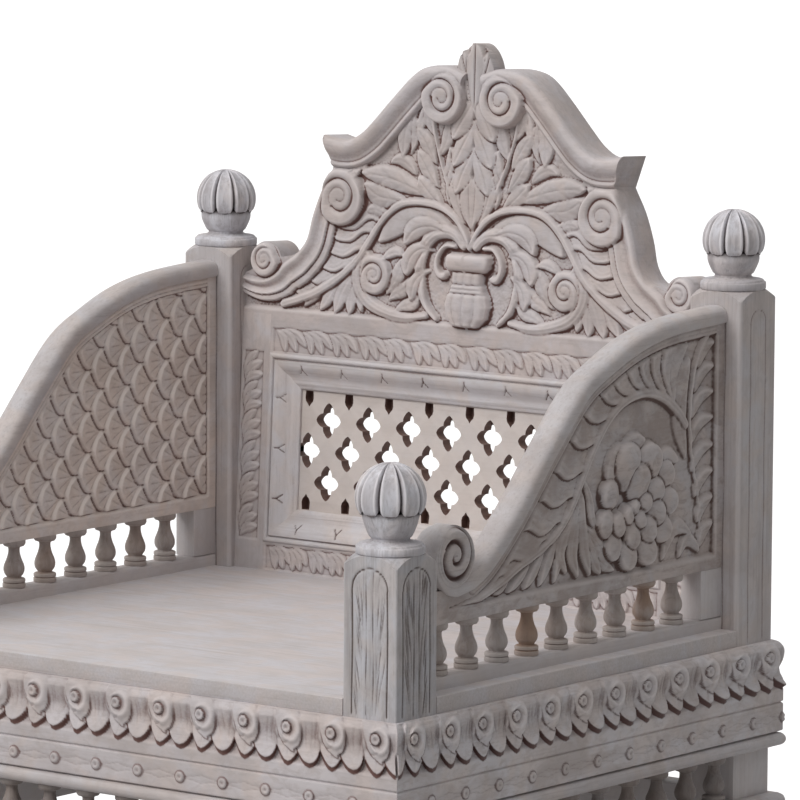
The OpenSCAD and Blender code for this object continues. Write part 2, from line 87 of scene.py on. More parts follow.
ca, sa, ce, se = math.cos(AZIMUTH), math.sin(AZIMUTH), math.cos(ELEVATION), math.sin(ELEVATION)
backward = np.array([sa * ce, -ca * ce, se])
right = np.array([ca, sa, 0.0])
upward = np.cross(backward, right)
turned_right = right * math.cos(ROLL) + upward * math.sin(ROLL)
turned_up = -right * math.sin(ROLL) + upward * math.cos(ROLL)
eye = metres(-SHIFT_X * turned_right - SHIFT_Y * turned_up + DISTANCE * backward)


def linked(name, data):
    """An object for the data, put in the scene."""
    thing = bpy.data.objects.new(name, data)
    bpy.context.collection.objects.link(thing)
    return thing


camera_data = bpy.data.cameras.new("camera")
camera_data.sensor_width = 36
camera_data.lens = FOCAL_PX / PHOTO_PX * camera_data.sensor_width
camera_data.clip_end = 50
camera = linked("camera", camera_data)
turn = Matrix((turned_right, turned_up, backward)).transposed().to_4x4()
camera.matrix_world = Matrix.Translation(eye) @ turn
bpy.context.scene.camera = camera
print("lens", round(camera_data.lens, 1), "mm at", [round(v, 3) for v in eye])

# %% [markdown]
# Three soft lamps light the chair under a faint even sky. A very broad one hangs straight above, as a studio ceiling
# does, the key comes from the front left, and a weak one lifts the front right. The right side therefore falls into
# half shade, as in the photograph. The sky is white only to the camera and to reflections, so the background is plain
# white while the wood is lit at a plain level.

# %% World and lamps
SKY, CEILING, KEY, FILL = 0.17, 1.24, 1.86, 0.02


def node_maker(tree):
    """Adds a node with its settings and links in one call. A tuple of a node and an output name is a link."""
    def add(kind, settings=None, **inputs):
        node = tree.nodes.new(kind)
        for key, value in (settings or {}).items():
            setattr(node, key, value)
        for key, value in inputs.items():
            socket = node.inputs[int(key[1:]) if key[0] == "i" and key[1:].isdigit() else key.replace("_", " ")]
            if isinstance(value, tuple) and hasattr(value[0], "outputs"):
                tree.links.new(value[0].outputs[value[1]], socket)
            else:
                socket.default_value = value
        return node
    return add


def blank(thing):
    """Empties the nodes of a material or world and gives their maker."""
    thing.use_nodes = True
    thing.node_tree.nodes.clear()
    return node_maker(thing.node_tree)


def seen_directly(add):
    """1 for rays from the camera, from reflections and through glass, 0 for the light that falls on the wood."""
    path = add("ShaderNodeLightPath")
    both = add("ShaderNodeMath", {"operation": "MAXIMUM"}, i0=(path, "Is Camera Ray"), i1=(path, "Is Glossy Ray"))
    return add("ShaderNodeMath", {"operation": "MAXIMUM"}, i0=(both, "Value"), i1=(path, "Is Transmission Ray"))


world = bpy.data.worlds.new("studio")
bpy.context.scene.world = world
add = blank(world)
sky = add("ShaderNodeBackground", Color=(0.97, 0.985, 1.0, 1), Strength=SKY)
white = add("ShaderNodeBackground", Color=(1, 1, 1, 1), Strength=1.0)
choose = add("ShaderNodeMixShader", i0=(seen_directly(add), "Value"), i1=(sky, "Background"), i2=(white, "Background"))
add("ShaderNodeOutputWorld", Surface=(choose, "Shader"))


def sun(name, direction, strength, spread, colour):
    """A lamp that shines from a direction, given as where the light comes from."""
    data = bpy.data.lights.new(name, "SUN")
    data.energy = strength
    data.angle = math.radians(spread)
    data.color = colour
    linked(name, data).rotation_euler = Vector(direction).to_track_quat("Z", "Y").to_euler()


sun("ceiling", (-0.14, -0.22, 1.0), CEILING, 104, (1.0, 0.995, 0.985))
sun("key", (-0.21, -0.74, 0.64), KEY, 40, (1.0, 0.99, 0.975))
sun("fill", (0.7, -0.8, 0.35), FILL, 60, (0.97, 0.98, 1.0))
bpy.context.scene.view_settings.view_transform = "Standard"
print("sky", SKY, "ceiling", CEILING, "key", KEY, "fill", FILL)

# %% [markdown]
# The floor is a plain pale plane. To the camera it adds just enough of its own light to reach white where nothing
# shades it, and it still takes the chair's shadow.

# %% Floor
floor_mesh = bpy.data.meshes.new("floor")
FLOOR_REACH, FLOOR_GREY, FLOOR_LIFT = 30, 0.50, 0.66
corners = [(x * FLOOR_REACH, y * FLOOR_REACH, 0) for x, y in ((-1, -1), (1, -1), (1, 1), (-1, 1))]
floor_mesh.from_pydata(corners, [], [(0, 1, 2, 3)])
floor = linked("floor", floor_mesh)
floor_material = bpy.data.materials.new("pale_floor")
add = blank(floor_material)
matt = add("ShaderNodeBsdfDiffuse", Color=(FLOOR_GREY, FLOOR_GREY, FLOOR_GREY, 1))
lift = add("ShaderNodeEmission", Color=(1, 1, 1, 1), Strength=FLOOR_LIFT)
dark = add("ShaderNodeEmission", Color=(0, 0, 0, 1), Strength=0.0)
extra = add("ShaderNodeMixShader", i0=(seen_directly(add), "Value"), i1=(dark, "Emission"), i2=(lift, "Emission"))
both = add("ShaderNodeAddShader", i0=(matt, "BSDF"), i1=(extra, "Shader"))
add("ShaderNodeOutputMaterial", Surface=(both, "Shader"))
floor_mesh.materials.append(floor_material)
print("floor", floor.dimensions[:])

# %% [markdown]
# The finish is a grey lime wash, brushed on and then worn, and long fine streaks of grain show through it. One function
# builds that recipe. Each piece tells it which way its grain runs. A value called hollow, stored on each point of a
# mesh, says how deep in a recess the point lies. Where it is high the colour turns dark and brownish, partly the wash
# gathered in the cuts and partly painted shade; where it is low the colour is paler than the wash, partly wear on proud
# wood and partly a painted highlight. On carved boards it also holds painted light and shade by the slope of the walls.

# %% Limewashed wood
def linear(r, g, b):
    """A colour as it is read off a screen, turned into the linear value that a shader takes."""
    return tuple(((c / 255 + 0.055) / 1.055) ** 2.4 if c > 10 else c / 3294.6 for c in (r, g, b)) + (1.0,)


def washed_wood(name, grain, pale, middle, deep, streak=0.5, patch=0.5, rough=0.62, relief=0.35, bare=None):
    """Grain is the axis that the fibres run along: 0 across, 1 front to back, 2 up. Bare is the colour of the wood
    itself, which shows where the mesh's worn value is high. Colours are given as they are read off a screen."""
    pale, middle, deep = (linear(*colour) for colour in (pale, middle, deep))
    material = bpy.data.materials.new(name)
    add = blank(material)
    place = add("ShaderNodeTexCoord")

    def noise(along, across, detail, roughness=0.55, distort=0.0):
        scale = [across] * 3
        scale[grain] = along
        mapping = add("ShaderNodeMapping", Vector=(place, "Object"), Scale=tuple(scale))
        return add("ShaderNodeTexNoise", Vector=(mapping, "Vector"), Scale=1.0, Detail=detail,
                   Roughness=roughness, Distortion=distort)

    def ramp(source, low, high):
        return add("ShaderNodeMapRange", {"interpolation_type": "SMOOTHSTEP"}, Value=source,
                   From_Min=low, From_Max=high)

    def share(source, low, high, amount):
        """How much of a layer shows: a noise cut between two levels, times an amount."""
        part = ramp((source, "Fac"), low, high)
        return add("ShaderNodeMath", {"operation": "MULTIPLY"}, i0=(part, "Result"), i1=amount), "Value"

    def blend(factor, first, second):
        return add("ShaderNodeMix", {"data_type": "RGBA"}, i0=factor, i6=first, i7=second)

    fibres = noise(9, 420, 5, 0.65)
    streaks = noise(3.5, 70, 4, 0.6, 0.4)
    patches = noise(11, 16, 4, 0.6, 0.6)
    specks = noise(420, 420, 2)
    hollow = add("ShaderNodeAttribute", {"attribute_name": "hollow"})

    stain = add("ShaderNodeTexNoise", Vector=(place, "Object"), Scale=23.0, Detail=5.0, Roughness=0.6, Distortion=0.5)
    cool, warm = (tuple(c * k for c, k in zip(pale, tone)) for tone in ((0.975, 0.995, 1.03, 1), (1.0, 0.955, 0.925, 1)))
    tint = blend((ramp((stain, "Fac"), 0.40, 0.62), "Result"), cool, warm)
    mottle = noise(55, 110, 6, 0.7, 0.8)
    dusty = blend(share(mottle, 0.44, 0.66, 0.75 * patch), (tint, "Result"), middle)
    ground = blend(share(patches, 0.42, 0.68, patch), (dusty, "Result"), middle)
    if bare:
        rubbed = add("ShaderNodeAttribute", {"attribute_name": "worn"})
        ground = blend(share(patches, 0.22, 0.62, (rubbed, "Fac")), (ground, "Result"), linear(*bare))
    grained = blend(share(streaks, 0.46, 0.74, streak), (ground, "Result"), middle)
    fibred = blend(share(fibres, 0.50, 0.78, 0.55 * streak), (grained, "Result"), deep)
    rub = add("ShaderNodeMath", {"operation": "MULTIPLY_ADD"}, i0=(specks, "Fac"), i1=0.3, i2=-0.15)
    depth = add("ShaderNodeMath", {"operation": "ADD"}, i0=(hollow, "Fac"), i1=(rub, "Value"))
    # Painted shade: toward the deep colour where hollow is high, on top of the wash that gathers in the cuts
    sunk = blend((ramp((depth, "Value"), 0.05, 0.95), "Result"), (fibred, "Result"), deep)
    # Painted highlight: paler than the pale wash where hollow is low, on top of the wear on proud wood
    crest = add("ShaderNodeMapRange", Value=(hollow, "Fac"), From_Min=-0.12, From_Max=-0.85, To_Max=0.75)
    lit = blend((crest, "Result"), (sunk, "Result"), tuple(min(1, c * 1.22) for c in pale[:3]) + (1,))

    height = add("ShaderNodeMath", {"operation": "MULTIPLY_ADD"}, i0=(fibres, "Fac"), i1=0.6, i2=(streaks, "Fac"))
    bump = add("ShaderNodeBump", Strength=relief, Distance=0.0006, Height=(height, "Value"))
    rougher = add("ShaderNodeMapRange", Value=(fibres, "Fac"), To_Min=rough - 0.08, To_Max=rough + 0.14)
    shader = add("ShaderNodeBsdfPrincipled", Base_Color=(lit, "Result"), Roughness=(rougher, "Result"),
                 Specular_IOR_Level=0.28, Normal=(bump, "Normal"))
    add("ShaderNodeOutputMaterial", Surface=(shader, "BSDF"))
    return material


PALE, MIDDLE, DEEP = (190, 184, 183), (164, 155, 153), (98, 78, 74)
WOOD_X, WOOD_Y, WOOD_Z = (washed_wood("washed_wood_" + "xyz"[i], i, PALE, MIDDLE, DEEP) for i in range(3))
CARVED = washed_wood("washed_carving", 0, (192, 184, 183), MIDDLE, (96, 68, 63), streak=0.25, patch=0.6)
# The side aprons take a copy with a paler pale and a darker deep: painted light and shade for faces the key lamp
# misses.
CARVED_SIDE_PAINTED_SHADING = washed_wood("washed_carving_side_painted_shading", 1, (204, 198, 198), (170, 159, 155), (76, 54, 51), streak=0.25,
    patch=0.7)
# The arms' outer faces take a darker copy, painted shade, and their inner faces a paler one, painted light.
ROSE_WOOD_PAINTED_SHADE = washed_wood("washed_carving_outside_painted_shade", 1, (184, 176, 174), (148, 136, 131), (80, 62, 57), streak=0.25,
    patch=0.8)
SCALE_WOOD_PAINTED_LIGHT = washed_wood("washed_carving_inside_painted_light", 1, (216, 206, 200), (190, 176, 168), (104, 78, 72), streak=0.25,
    patch=0.6)
CARVED_UP = washed_wood("washed_carving_up", 2, (192, 185, 184), MIDDLE, (98, 76, 72), streak=0.25, patch=0.5)
JALI_WOOD = washed_wood("washed_openwork", 0, (189, 181, 177), (168, 157, 151), (112, 90, 84), streak=0.4, patch=0.6)
# The walls of the holes and the strips behind the edge slots are dark brown: painted shade.
JALI_WALL_PAINTED_SHADE = washed_wood("openwork_walls_painted_shade", 0, (112, 88, 80), (90, 66, 58), (66, 46, 40), streak=0.4, patch=0.8)
SEAT_WOOD = washed_wood("seat_wood", 0, (201, 196, 197), (184, 177, 175), (128, 116, 110),
                        streak=0.55, patch=0.5, rough=0.55, relief=0.2)
AMBER = washed_wood("amber_wood", 2, (172, 152, 136), (160, 126, 100), (92, 66, 50))
TURNED = washed_wood("turned_wood", 2, (178, 170, 166), (142, 130, 124), (84, 60, 52), patch=0.8, bare=(142, 117, 100))
# The galleries under the apron take a much darker copy: painted shade.
GALLERY_WOOD_PAINTED_SHADE = washed_wood("washed_gallery_painted_shade", 2, (136, 128, 124), (106, 95, 90), (60, 46, 42), patch=0.8)
# The back's frame takes a paler copy: painted light.
FRAME_X_PAINTED_LIGHT, FRAME_Z_PAINTED_LIGHT = (washed_wood("washed_frame_painted_light_" + "xz"[i > 0], i, (200, 195, 195), (178, 170, 168), DEEP, patch=0.4)
    for i in (0, 2))
PALE_POST = washed_wood("washed_post", 2, (184, 181, 183), (148, 142, 141), (82, 70, 65), streak=0.8)
# The finials take a paler copy: painted highlight.
FINIAL_WOOD_PAINTED_LIGHT = washed_wood("washed_finial_painted_light", 2, (208, 205, 208), (160, 154, 156), (84, 76, 76), streak=0.7, patch=0.7)
print("finishes", [m.name for m in bpy.data.materials])

# %% [markdown]
# Most pieces below are rows of points joined by four-sided faces: a section drawn many times along a path, a profile
# turned round an axis, or a sheet lifted into a relief. These helpers join the rows, close the ends, work out how
# deep each point lies, and hand the piece to the fixed model's body.

# %% Joining points into pieces
def quads(rows, columns, wrap):
    """Faces between rows of points. With wrap, each row is a ring."""
    r, c = np.meshgrid(np.arange(rows - 1), np.arange(columns if wrap else columns - 1), indexing="ij")
    n = (c + 1) % columns
    faces = np.stack([r * columns + c, r * columns + n, (r + 1) * columns + n, (r + 1) * columns + c], -1)
    return faces.reshape(-1, 4).tolist()


def tube(rings):
    """A closed shell from rings of points, with a flat face at either end."""
    rings = np.asarray(rings, float)
    rows, columns = rings.shape[:2]
    faces = quads(rows, columns, True)
    faces.append(list(range(columns))[::-1])
    faces.append(list(range((rows - 1) * columns, rows * columns)))
    return rings.reshape(-1, 3), faces


def turned(profile, sides, centre=(0, 0)):
    """A shell turned round an upright axis from [radius, height] points that start and end on the axis."""
    a = np.linspace(0, 2 * math.pi, sides, endpoint=False)
    profile = np.asarray(profile, float)
    inner = profile[1:-1]
    rings = np.stack([centre[0] + inner[:, :1] * np.cos(a), centre[1] + inner[:, :1] * np.sin(a),
                      inner[:, 1:] + 0 * a], -1)
    return tube(rings)


def smooth(points, steps, closed=False):
    """A soft curve through points."""
    p = np.asarray(points, float)
    out = []
    n = len(p)
    for i in range(n if closed else n - 1):
        pick = (lambda k: p[k % n]) if closed else (lambda k: p[min(max(k, 0), n - 1)])
        a, b, c, d = pick(i - 1), pick(i), pick(i + 1), pick(i + 2)
        for k in range(steps):
            t = k / steps
            out.append(0.5 * (2 * b + (c - a) * t + (2 * a - 5 * b + 4 * c - d) * t ** 2
                              + (3 * b - a - 3 * c + d) * t ** 3))
    if not closed:
        out.append(p[-1])
    return np.array(out)


def spaced(path, step):
    """The same path with points about one step apart."""
    path = np.asarray(path, float)
    run = np.concatenate([[0], np.cumsum(np.linalg.norm(np.diff(path, axis=0), axis=1))])
    at = np.linspace(0, run[-1], max(2, int(round(run[-1] / step)) + 1))
    return np.stack([np.interp(at, run, path[:, k]) for k in range(path.shape[1])], -1)


def follow(path, u, v):
    """For each point, how far along the path its nearest place is, from 0 to 1, and how far off to the side."""
    path = np.asarray(path, float)
    a, seg = path[:-1], np.diff(path, axis=0)
    length = np.hypot(seg[:, 0], seg[:, 1]) + 1e-9
    start = np.concatenate([[0], np.cumsum(length)])
    pu, pv = u[..., None] - a[:, 0], v[..., None] - a[:, 1]
    t = np.clip((pu * seg[:, 0] + pv * seg[:, 1]) / length ** 2, 0, 1)
    du, dv = pu - t * seg[:, 0], pv - t * seg[:, 1]
    k = np.argmin(du * du + dv * dv, -1)
    t, du, dv = (np.take_along_axis(q, k[..., None], -1)[..., 0] for q in (t, du, dv))
    side = np.sign(seg[k, 0] * dv - seg[k, 1] * du + 1e-12) * np.hypot(du, dv)
    return (start[k] + t * length[k]) / start[-1], side


def hollows(mesh, rounds=2, gain=2.2):
    """How far each point's neighbours stand above it, from -1 on a crest to 1 in a hollow."""
    n = len(mesh.vertices)
    co = np.empty(n * 3)
    mesh.vertices.foreach_get("co", co)
    co = co.reshape(-1, 3)
    normal = np.empty(n * 3)
    mesh.vertices.foreach_get("normal", normal)
    normal = normal.reshape(-1, 3)
    ends = np.empty(len(mesh.edges) * 2, int)
    mesh.edges.foreach_get("vertices", ends)
    a, b = ends.reshape(-1, 2).T
    step = co[b] - co[a]
    long = np.linalg.norm(step, axis=1) + 1e-9
    count = np.bincount(a, minlength=n) + np.bincount(b, minlength=n)
    total = np.bincount(a, (step * normal[a]).sum(1) / long, n) - np.bincount(b, (step * normal[b]).sum(1) / long, n)
    value = total / np.maximum(count, 1)
    for _ in range(rounds):
        value = 0.4 * value + 0.6 * (np.bincount(a, value[b], n) + np.bincount(b, value[a], n)) / np.maximum(count, 1)
    return np.clip(value * gain, -1, 1)


def store(mesh, name, values):
    """Keeps one number for each point of a mesh, for its material to read."""
    mesh.attributes.new(name, "FLOAT", "POINT").data.foreach_set("value", np.asarray(values, float))


def hand_over(name, mesh, nodes):
    """Makes the mesh an object of the fixed model's body and lets it stand for solids of the model."""
    thing = linked(name, mesh)
    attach(thing, "root")
    if nodes:
        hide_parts(*nodes)
    print(name, len(mesh.polygons), "faces")
    return thing


def own_name(name):
    """A piece can't share a name with a solid of the model."""
    return name + "_wood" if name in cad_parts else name


def piece(name, shells, material, nodes, sharp=38, hollow=None, bevel=0.0):
    """Makes one object from shells given in millimetres from the lip."""
    name = own_name(name)
    points, faces = [], []
    for shell_points, shell_faces in shells:
        start = sum(len(p) for p in points)
        points.append(np.asarray(shell_points, float))
        faces += [[i + start for i in f] for f in shell_faces]
    mesh = bpy.data.meshes.new(name)
    mesh.from_pydata(metres(np.concatenate(points)).tolist(), [], faces)
    if hollow is not None:
        store(mesh, "hollow", hollow)
    work = bmesh.new()
    work.from_mesh(mesh)
    bmesh.ops.dissolve_degenerate(work, dist=1e-6, edges=work.edges)
    if bevel:
        edges = [e for e in work.edges if len(e.link_faces) == 2 and e.calc_face_angle(0) > 0.6]
        bmesh.ops.bevel(work, geom=edges, offset=bevel * 0.001, segments=2, profile=0.6, affect="EDGES")
    bmesh.ops.recalc_face_normals(work, faces=work.faces)
    work.to_mesh(mesh)
    work.free()
    mesh.shade_smooth()
    mesh.set_sharp_from_angle(angle=math.radians(sharp))
    if hollow is None:
        store(mesh, "hollow", hollows(mesh))
    mesh.materials.append(material)
    return hand_over(name, mesh, nodes)


def block(low, high):
    """The eight corners and six faces of a plain block, for the helpers to soften."""
    (x0, y0, z0), (x1, y1, z1) = low, high
    corners = [(x, y, z) for z in (z0, z1) for y in (y0, y1) for x in (x0, x1)]
    return np.array(corners, float), [[0, 2, 3, 1], [4, 5, 7, 6], [0, 1, 5, 4], [2, 6, 7, 3], [0, 4, 6, 2], [1, 3, 7, 5]]


print("helpers ready")

# %% [markdown]
# ## The base
# Four carved mouldings wrap the seat like a picture frame: each is one section run along its side and mitred at the
# corners. The section is drawn once, as how far it stands out and how high it is. Every point of it is then slid
# along the side, and points that stand further out reach further into the corner, which makes the mitre by itself.
# The leaves are a lift added to each point, so the carving is real shape and not a picture of it.

# %% A mitred moulding
SIDES = {"front": (SEAT_W, HALF_D, 0), "back": (SEAT_W, HALF_D, 180), "right": (SEAT_D, HALF_W, 90),
    "left": (SEAT_D, HALF_W, -90)}


def to_side(points, side):
    """Turns points drawn as [along, out, up] for the front to any side of the base."""
    away, angle = SIDES[side][1], math.radians(SIDES[side][2])
    p = np.asarray(points, float)
    x, y = p[..., 0], -(away + p[..., 1])
    return np.stack([x * math.cos(angle) - y * math.sin(angle), x * math.sin(angle) + y * math.cos(angle), p[..., 2]], -1)


def moulding(side, section, step, lift=None):
    """Runs a closed section of [out, up] points along a side, mitred. A lift moves each point and tells how hollow it
    is. Returns the shell and its hollow values."""
    length = SIDES[side][0]
    s = np.linspace(-length / 2, length / 2, int(length / step) + 1)[:, None]
    out = np.repeat(section[None, :, 0], len(s), 0)
    up = np.repeat(section[None, :, 1], len(s), 0)
    hollow = np.zeros_like(out)
    if lift is not None:
        rise, hollow = lift(s + 0 * out, out, up)
        out = out + rise
    along = s * (1 + out / (length / 2))
    return tube(to_side(np.stack([along, out, up], -1), side)), hollow.reshape(-1)


APRON_FACE = spaced(np.concatenate([
    smooth([[0, 0], [5, -2.5], [8.4, -8], [9, -14], [7.6, -22], [4.6, -30], [2.5, -36], [3.4, -43], [8.5, -51]], 4),
    [[8.5, -63], [6.6, -64.5], [8.5, -66], [8.5, -93.5], [5, -95]]]), 1.2)
APRON_SECTION = np.concatenate([APRON_FACE, [[-22, -95], [-22, 0]]])
print("apron section", len(APRON_FACE), "points")

# %% [markdown]
# The frieze repeats every 52 mm. A broad fluted tongue hangs from the lip and curls outward at its tip. Beside it a
# lobe curls round a small snail rosette, with a heart-shaped leaf below. Tongues and hearts stand clear of the hollow
# behind them, and that step throws a shadow under each tip, where a dark band is also painted on as a painted shadow.
# The hollow, the cuts and the dishes round the rosettes carry painted shade, and the curls a painted highlight. The
# flat band below has one small rosette to each unit, with a shallow lens cut between neighbours.

# %% The leaf frieze
def soft(value, width):
    """0 to 1 across a soft edge of the given width, for signed distances in millimetres."""
    return np.clip(value / width + 0.5, 0, 1)


def near(value, width):
    """A soft line: 1 where the value is 0, fading over the given width."""
    return np.exp(-(value / width) ** 2)


def frieze(units, seed):
    """The lift of the frieze for a side with this many units."""
    pick = np.random.default_rng(seed)
    shift, wrinkle = pick.normal(0, 1, (units + 3, 3)), pick.uniform(-1, 1, (units + 3, 6))

    def lift(s, out, up):
        half_run = s.max()
        pitch = half_run * 2 / units
        face = (out > -1) & (up < -0.1) & (up > -94)
        n = np.clip(((s + half_run) / pitch).astype(int), 0, units)
        along = (s + half_run) % pitch
        u = along - pitch / 2 + 0.8 * shift[n, 0] * (1 - np.abs(along / pitch * 2 - 1))
        m = np.clip(((s + half_run + pitch / 2) / pitch).astype(int), 0, units + 1)
        t = (s + half_run + pitch / 2) % pitch - pitch / 2 + 2.5 + 0.10 * (up + 20)
        level = out - 1.0 * soft(-24 - up, 6) * soft(up + 50, 4)
        # Painted shade in the hollow behind the tongues
        dark = 0.35 * soft(-26 - up, 8) * soft(up + 50, 3)

        def lay(mask, target, shade, level, dark, line=0.8):
            """Puts a form over what is there, its edge a steep wall darkened with painted shade."""
            wall = 4 * mask * (1 - mask)
            return level * (1 - mask) + target * mask, dark * (1 - mask) + shade * mask + line * wall

        def wall_and_painted_shadow(edge_up, deep):
            """1 above a lower edge, falling to 0 over the wall below it, and the painted shadow on that wall."""
            gap = up - edge_up
            return np.clip(1 + gap / deep, 0, 1), soft(0.4 - gap, 1.8) * soft(gap + deep + 0.2, 1.8)

        # Heart-shaped leaf under the rosette
        h = u - 1.5
        slope, painted_shadow_below = wall_and_painted_shadow(-np.interp(np.abs(h), [0, 4, 8, 11, 13.6], [49.0, 47.2, 43.5, 39.5, 35.0]), 4.4)
        heart = soft(13.6 - np.abs(h), 1.4) * slope
        target = np.interp(-up, [30, 36, 42, 47, 52], [5.0, 7.0, 8.8, 10.6, 10.8]) - 0.04 * h ** 2 / 4
        target = target - 0.9 * near(h - 0.1 * (up + 40), 0.8)
        # Painted shade along the heart's midrib, painted light toward its tip
        shade = 0.45 * near(h, 0.9) - 0.35 * soft(-40 - up, 8)
        level, dark = lay(heart * soft(-28 - up, 2), target, shade, level, dark, 0)
        # Painted shadow on the wall under the heart's tip
        dark = np.maximum(dark, painted_shadow_below * soft(13.2 - np.abs(h), 1.0) * soft(-30 - up, 2))
        # Tongue between two rosettes, hollow above and flared at its tip
        slope, painted_shadow_below = wall_and_painted_shadow(-np.interp(np.abs(t), [0, 5, 9, 12, 14.5], [48.2, 46.6, 43.6, 39.5, 33.0]), 4.6)
        tongue = soft(np.interp(-up, [2, 10, 24, 33, 52], [17, 15, 13.5, 15.0, 15.0]) - np.abs(t), 1.8) * slope
        target = np.interp(-up, [1, 4, 8, 16, 26, 34, 41, 46, 48], [2, 6.5, 8.8, 7.4, 6.0, 7.2, 9.8, 11.8, 11.6])
        target = target - 0.010 * t ** 2
        lines = 0
        for k in range(4):
            place = -9 + 6.0 * k + 2.2 * wrinkle[m, k]
            bend = t - place * (1 + 0.018 * (up + 25)) - 1.2 * np.sin(0.13 * up + 4 * wrinkle[m, k])
            cut = near(bend, 0.9) * soft(up + 32 + 7 * wrinkle[m, k], 9)
            lines = lines + cut * soft(-8 + 3 * wrinkle[m, 5 - k] - up, 7)
        lines = lines + 0.8 * near(np.abs(t) - 0.42 * (up + 47), 0.8) * soft(-37 - up, 3)
        target = target - 0.5 * lines
        # Painted shade in the tongue's grooves and hollow upper part, painted light toward its tip
        shade = 0.16 * lines + 0.34 * near(up + 20, 11) + 0.14 * near(np.abs(t) - 12, 3) - 0.4 * soft(-38 - up, 5)
        level, dark = lay(tongue * soft(-1.5 - up, 2), target, shade, level, dark, 0.25)
        # Painted shadow on the wall under the tongue's tip
        dark = np.maximum(dark, painted_shadow_below * soft(14.4 - np.abs(t), 1.0) * soft(-28 - up, 2))
        # Broad lobe behind the rosette, swelling to the right and curling in under it
        lean_u = u - 3.0 + 0.16 * (up + 20)
        wide = np.interp(-up, [0, 6, 16, 26, 33, 37], [13.5, 15.0, 15.0, 13.5, 9.5, 3.0])
        r = np.abs(lean_u) / wide
        lobe = soft((1 - r) * wide, 2.6) * soft(up + 37 + 0.35 * u, 2.4)
        crease = near(np.hypot(u + 5, up + 22) - 9.5, 1.0) * soft(4 - u, 5) * soft(-20 - up, 5)
        ring = np.hypot((u - 3.5) / 12.0, (up + 17) / 13.5)
        open_side = 1 - 0.95 * soft(-u - 6.5, 3) * soft(-12 - up, 6)
        curl = near(ring - 0.80, 0.17 + 0.12 * soft(u - 3, 5)) * open_side * soft(-2 - up, 3)
        target = np.interp(-up, [0, 4, 10, 40], [4.5, 7.4, 8.6, 9.4]) + 3.0 * curl - 0.9 * crease
        # Painted shade in the crease and round the rosette, painted highlight on the curl
        shade = 0.40 * crease - 0.60 * curl + 0.40 * soft(0.60 - ring, 0.2) * soft(-8 - up, 8) + 0.08
        level, dark = lay(lobe * soft(-0.5 - up, 1.0), target, shade, level, dark, 0.65 * soft(-14 - up, 14))
        # Small snail rosette
        r = np.hypot(u + 0.5, up + 16)
        dish = soft(6.8 - r, 1.4)
        # Painted shade in the dish round the rosette and in its eye
        level, dark = lay(dish, 8.4 + 0 * u, 0.60 + 0 * u, level, dark, 0.1)
        knob = soft(5.5 - r, 1.2)
        target = 11.2 + 0.8 * near(r - 3.9, 1.2) - 1.4 * near(r, 1.3)
        level, dark = lay(knob, target, 0.05 + 0.5 * near(r, 1.5) + 0.12 * near(r - 2.4, 0.9), level, dark, 0.5)
        # Band rosettes, half a unit off, and the fine lens cuts between them
        v = (along - pitch / 2 + pitch) % pitch - pitch / 2
        r = np.hypot(v, up + 80)
        band = (up < -67) & (up > -93)
        knob = soft(5.3 - r, 1.2)
        lens = 0.8 + 3.4 * (np.abs(v) / (pitch / 2)) ** 2
        edge = near(np.abs(up + 80) - lens, 0.8) * (np.abs(v) > 6.5)
        facet = 0.5 * np.clip(1 - np.abs(up + 80) / 9, 0, 1) * (np.abs(v) > 6.5)
        raised = knob * (1.9 + 0.7 * near(r - 3.4, 0.9) - 1.3 * near(r, 1.0))
        level = np.where(band, level + raised - 0.5 * edge - facet, level)
        # Painted shade in a ring round each band rosette, in its eye and in the lens cuts
        dark = np.where(band, dark + 0.75 * near(r - 5.9, 1.1) + 0.55 * near(r, 1.5) + 0.35 * edge, dark)
        # The carving fades out at the mitres
        keep = soft(half_run - 1.2 - np.abs(s), 2.4)
        return (level - out) * face * keep, np.clip(dark, -1, 1) * face * keep
    return lift


for seed, (side, (length, _, _)) in enumerate(SIDES.items(), 21):
    shell, dark = moulding(side, APRON_SECTION, 1.25, frieze(14 if length == SEAT_W else 12, seed))
    piece("apron_" + side, [shell], CARVED if side in ("front", "back") else CARVED_SIDE_PAINTED_SHADING, ["apron_" + side], sharp=70,
        hollow=dark)

# %% [markdown]
# Under the apron runs a half-round roll, and a moulded rail ties the legs lower down. They are plain runs of the
# same mitred moulding. A slow, slight waver in the lift keeps them from looking machine-made.

# %% Roll and tie rail
def waver(s, out, up):
    return 0.25 * np.sin(s * 0.021 + up * 0.2) * (out > 1), 0 * s


a = np.radians(np.linspace(84, -84, 15))
ROLL_SECTION = np.concatenate([[[-22, -95.2]], [[3.5, -95.2]], np.stack([4 + 7 * np.cos(a), -102.5 + 7 * np.sin(a)], -1),
                               [[3.5, -110], [-22, -110]]])
TIE_SECTION = np.concatenate([[[-22, -158]], smooth([[5, -158], [9.5, -161], [11, -167], [9, -174], [5, -180],
                                                     [4, -188], [8, -194]], 4), [[8, -203], [7, -204], [-22, -204]]])
for side, (length, _, _) in SIDES.items():
    wood = WOOD_X if side in ("front", "back") else WOOD_Y
    piece("roll_" + side, [moulding(side, ROLL_SECTION, 12, waver)[0]], wood, ["roll_" + side])
    piece("tie_rail_" + side, [moulding(side, TIE_SECTION, 12, waver)[0]], wood, ["tie_rail_" + side])

# %% [markdown]
# The small balusters come off a lathe, so one is turned here from a profile: a square-edged cap, a thin neck, a
# belly and two discs at the foot. Rows of the same thing are what Geometry Nodes do best: one tree puts an instance
# on each point of a line, turns each by a seeded random angle, and makes them real at the end. Its inputs are the
# baluster, how many there are, and where the row starts and steps to.

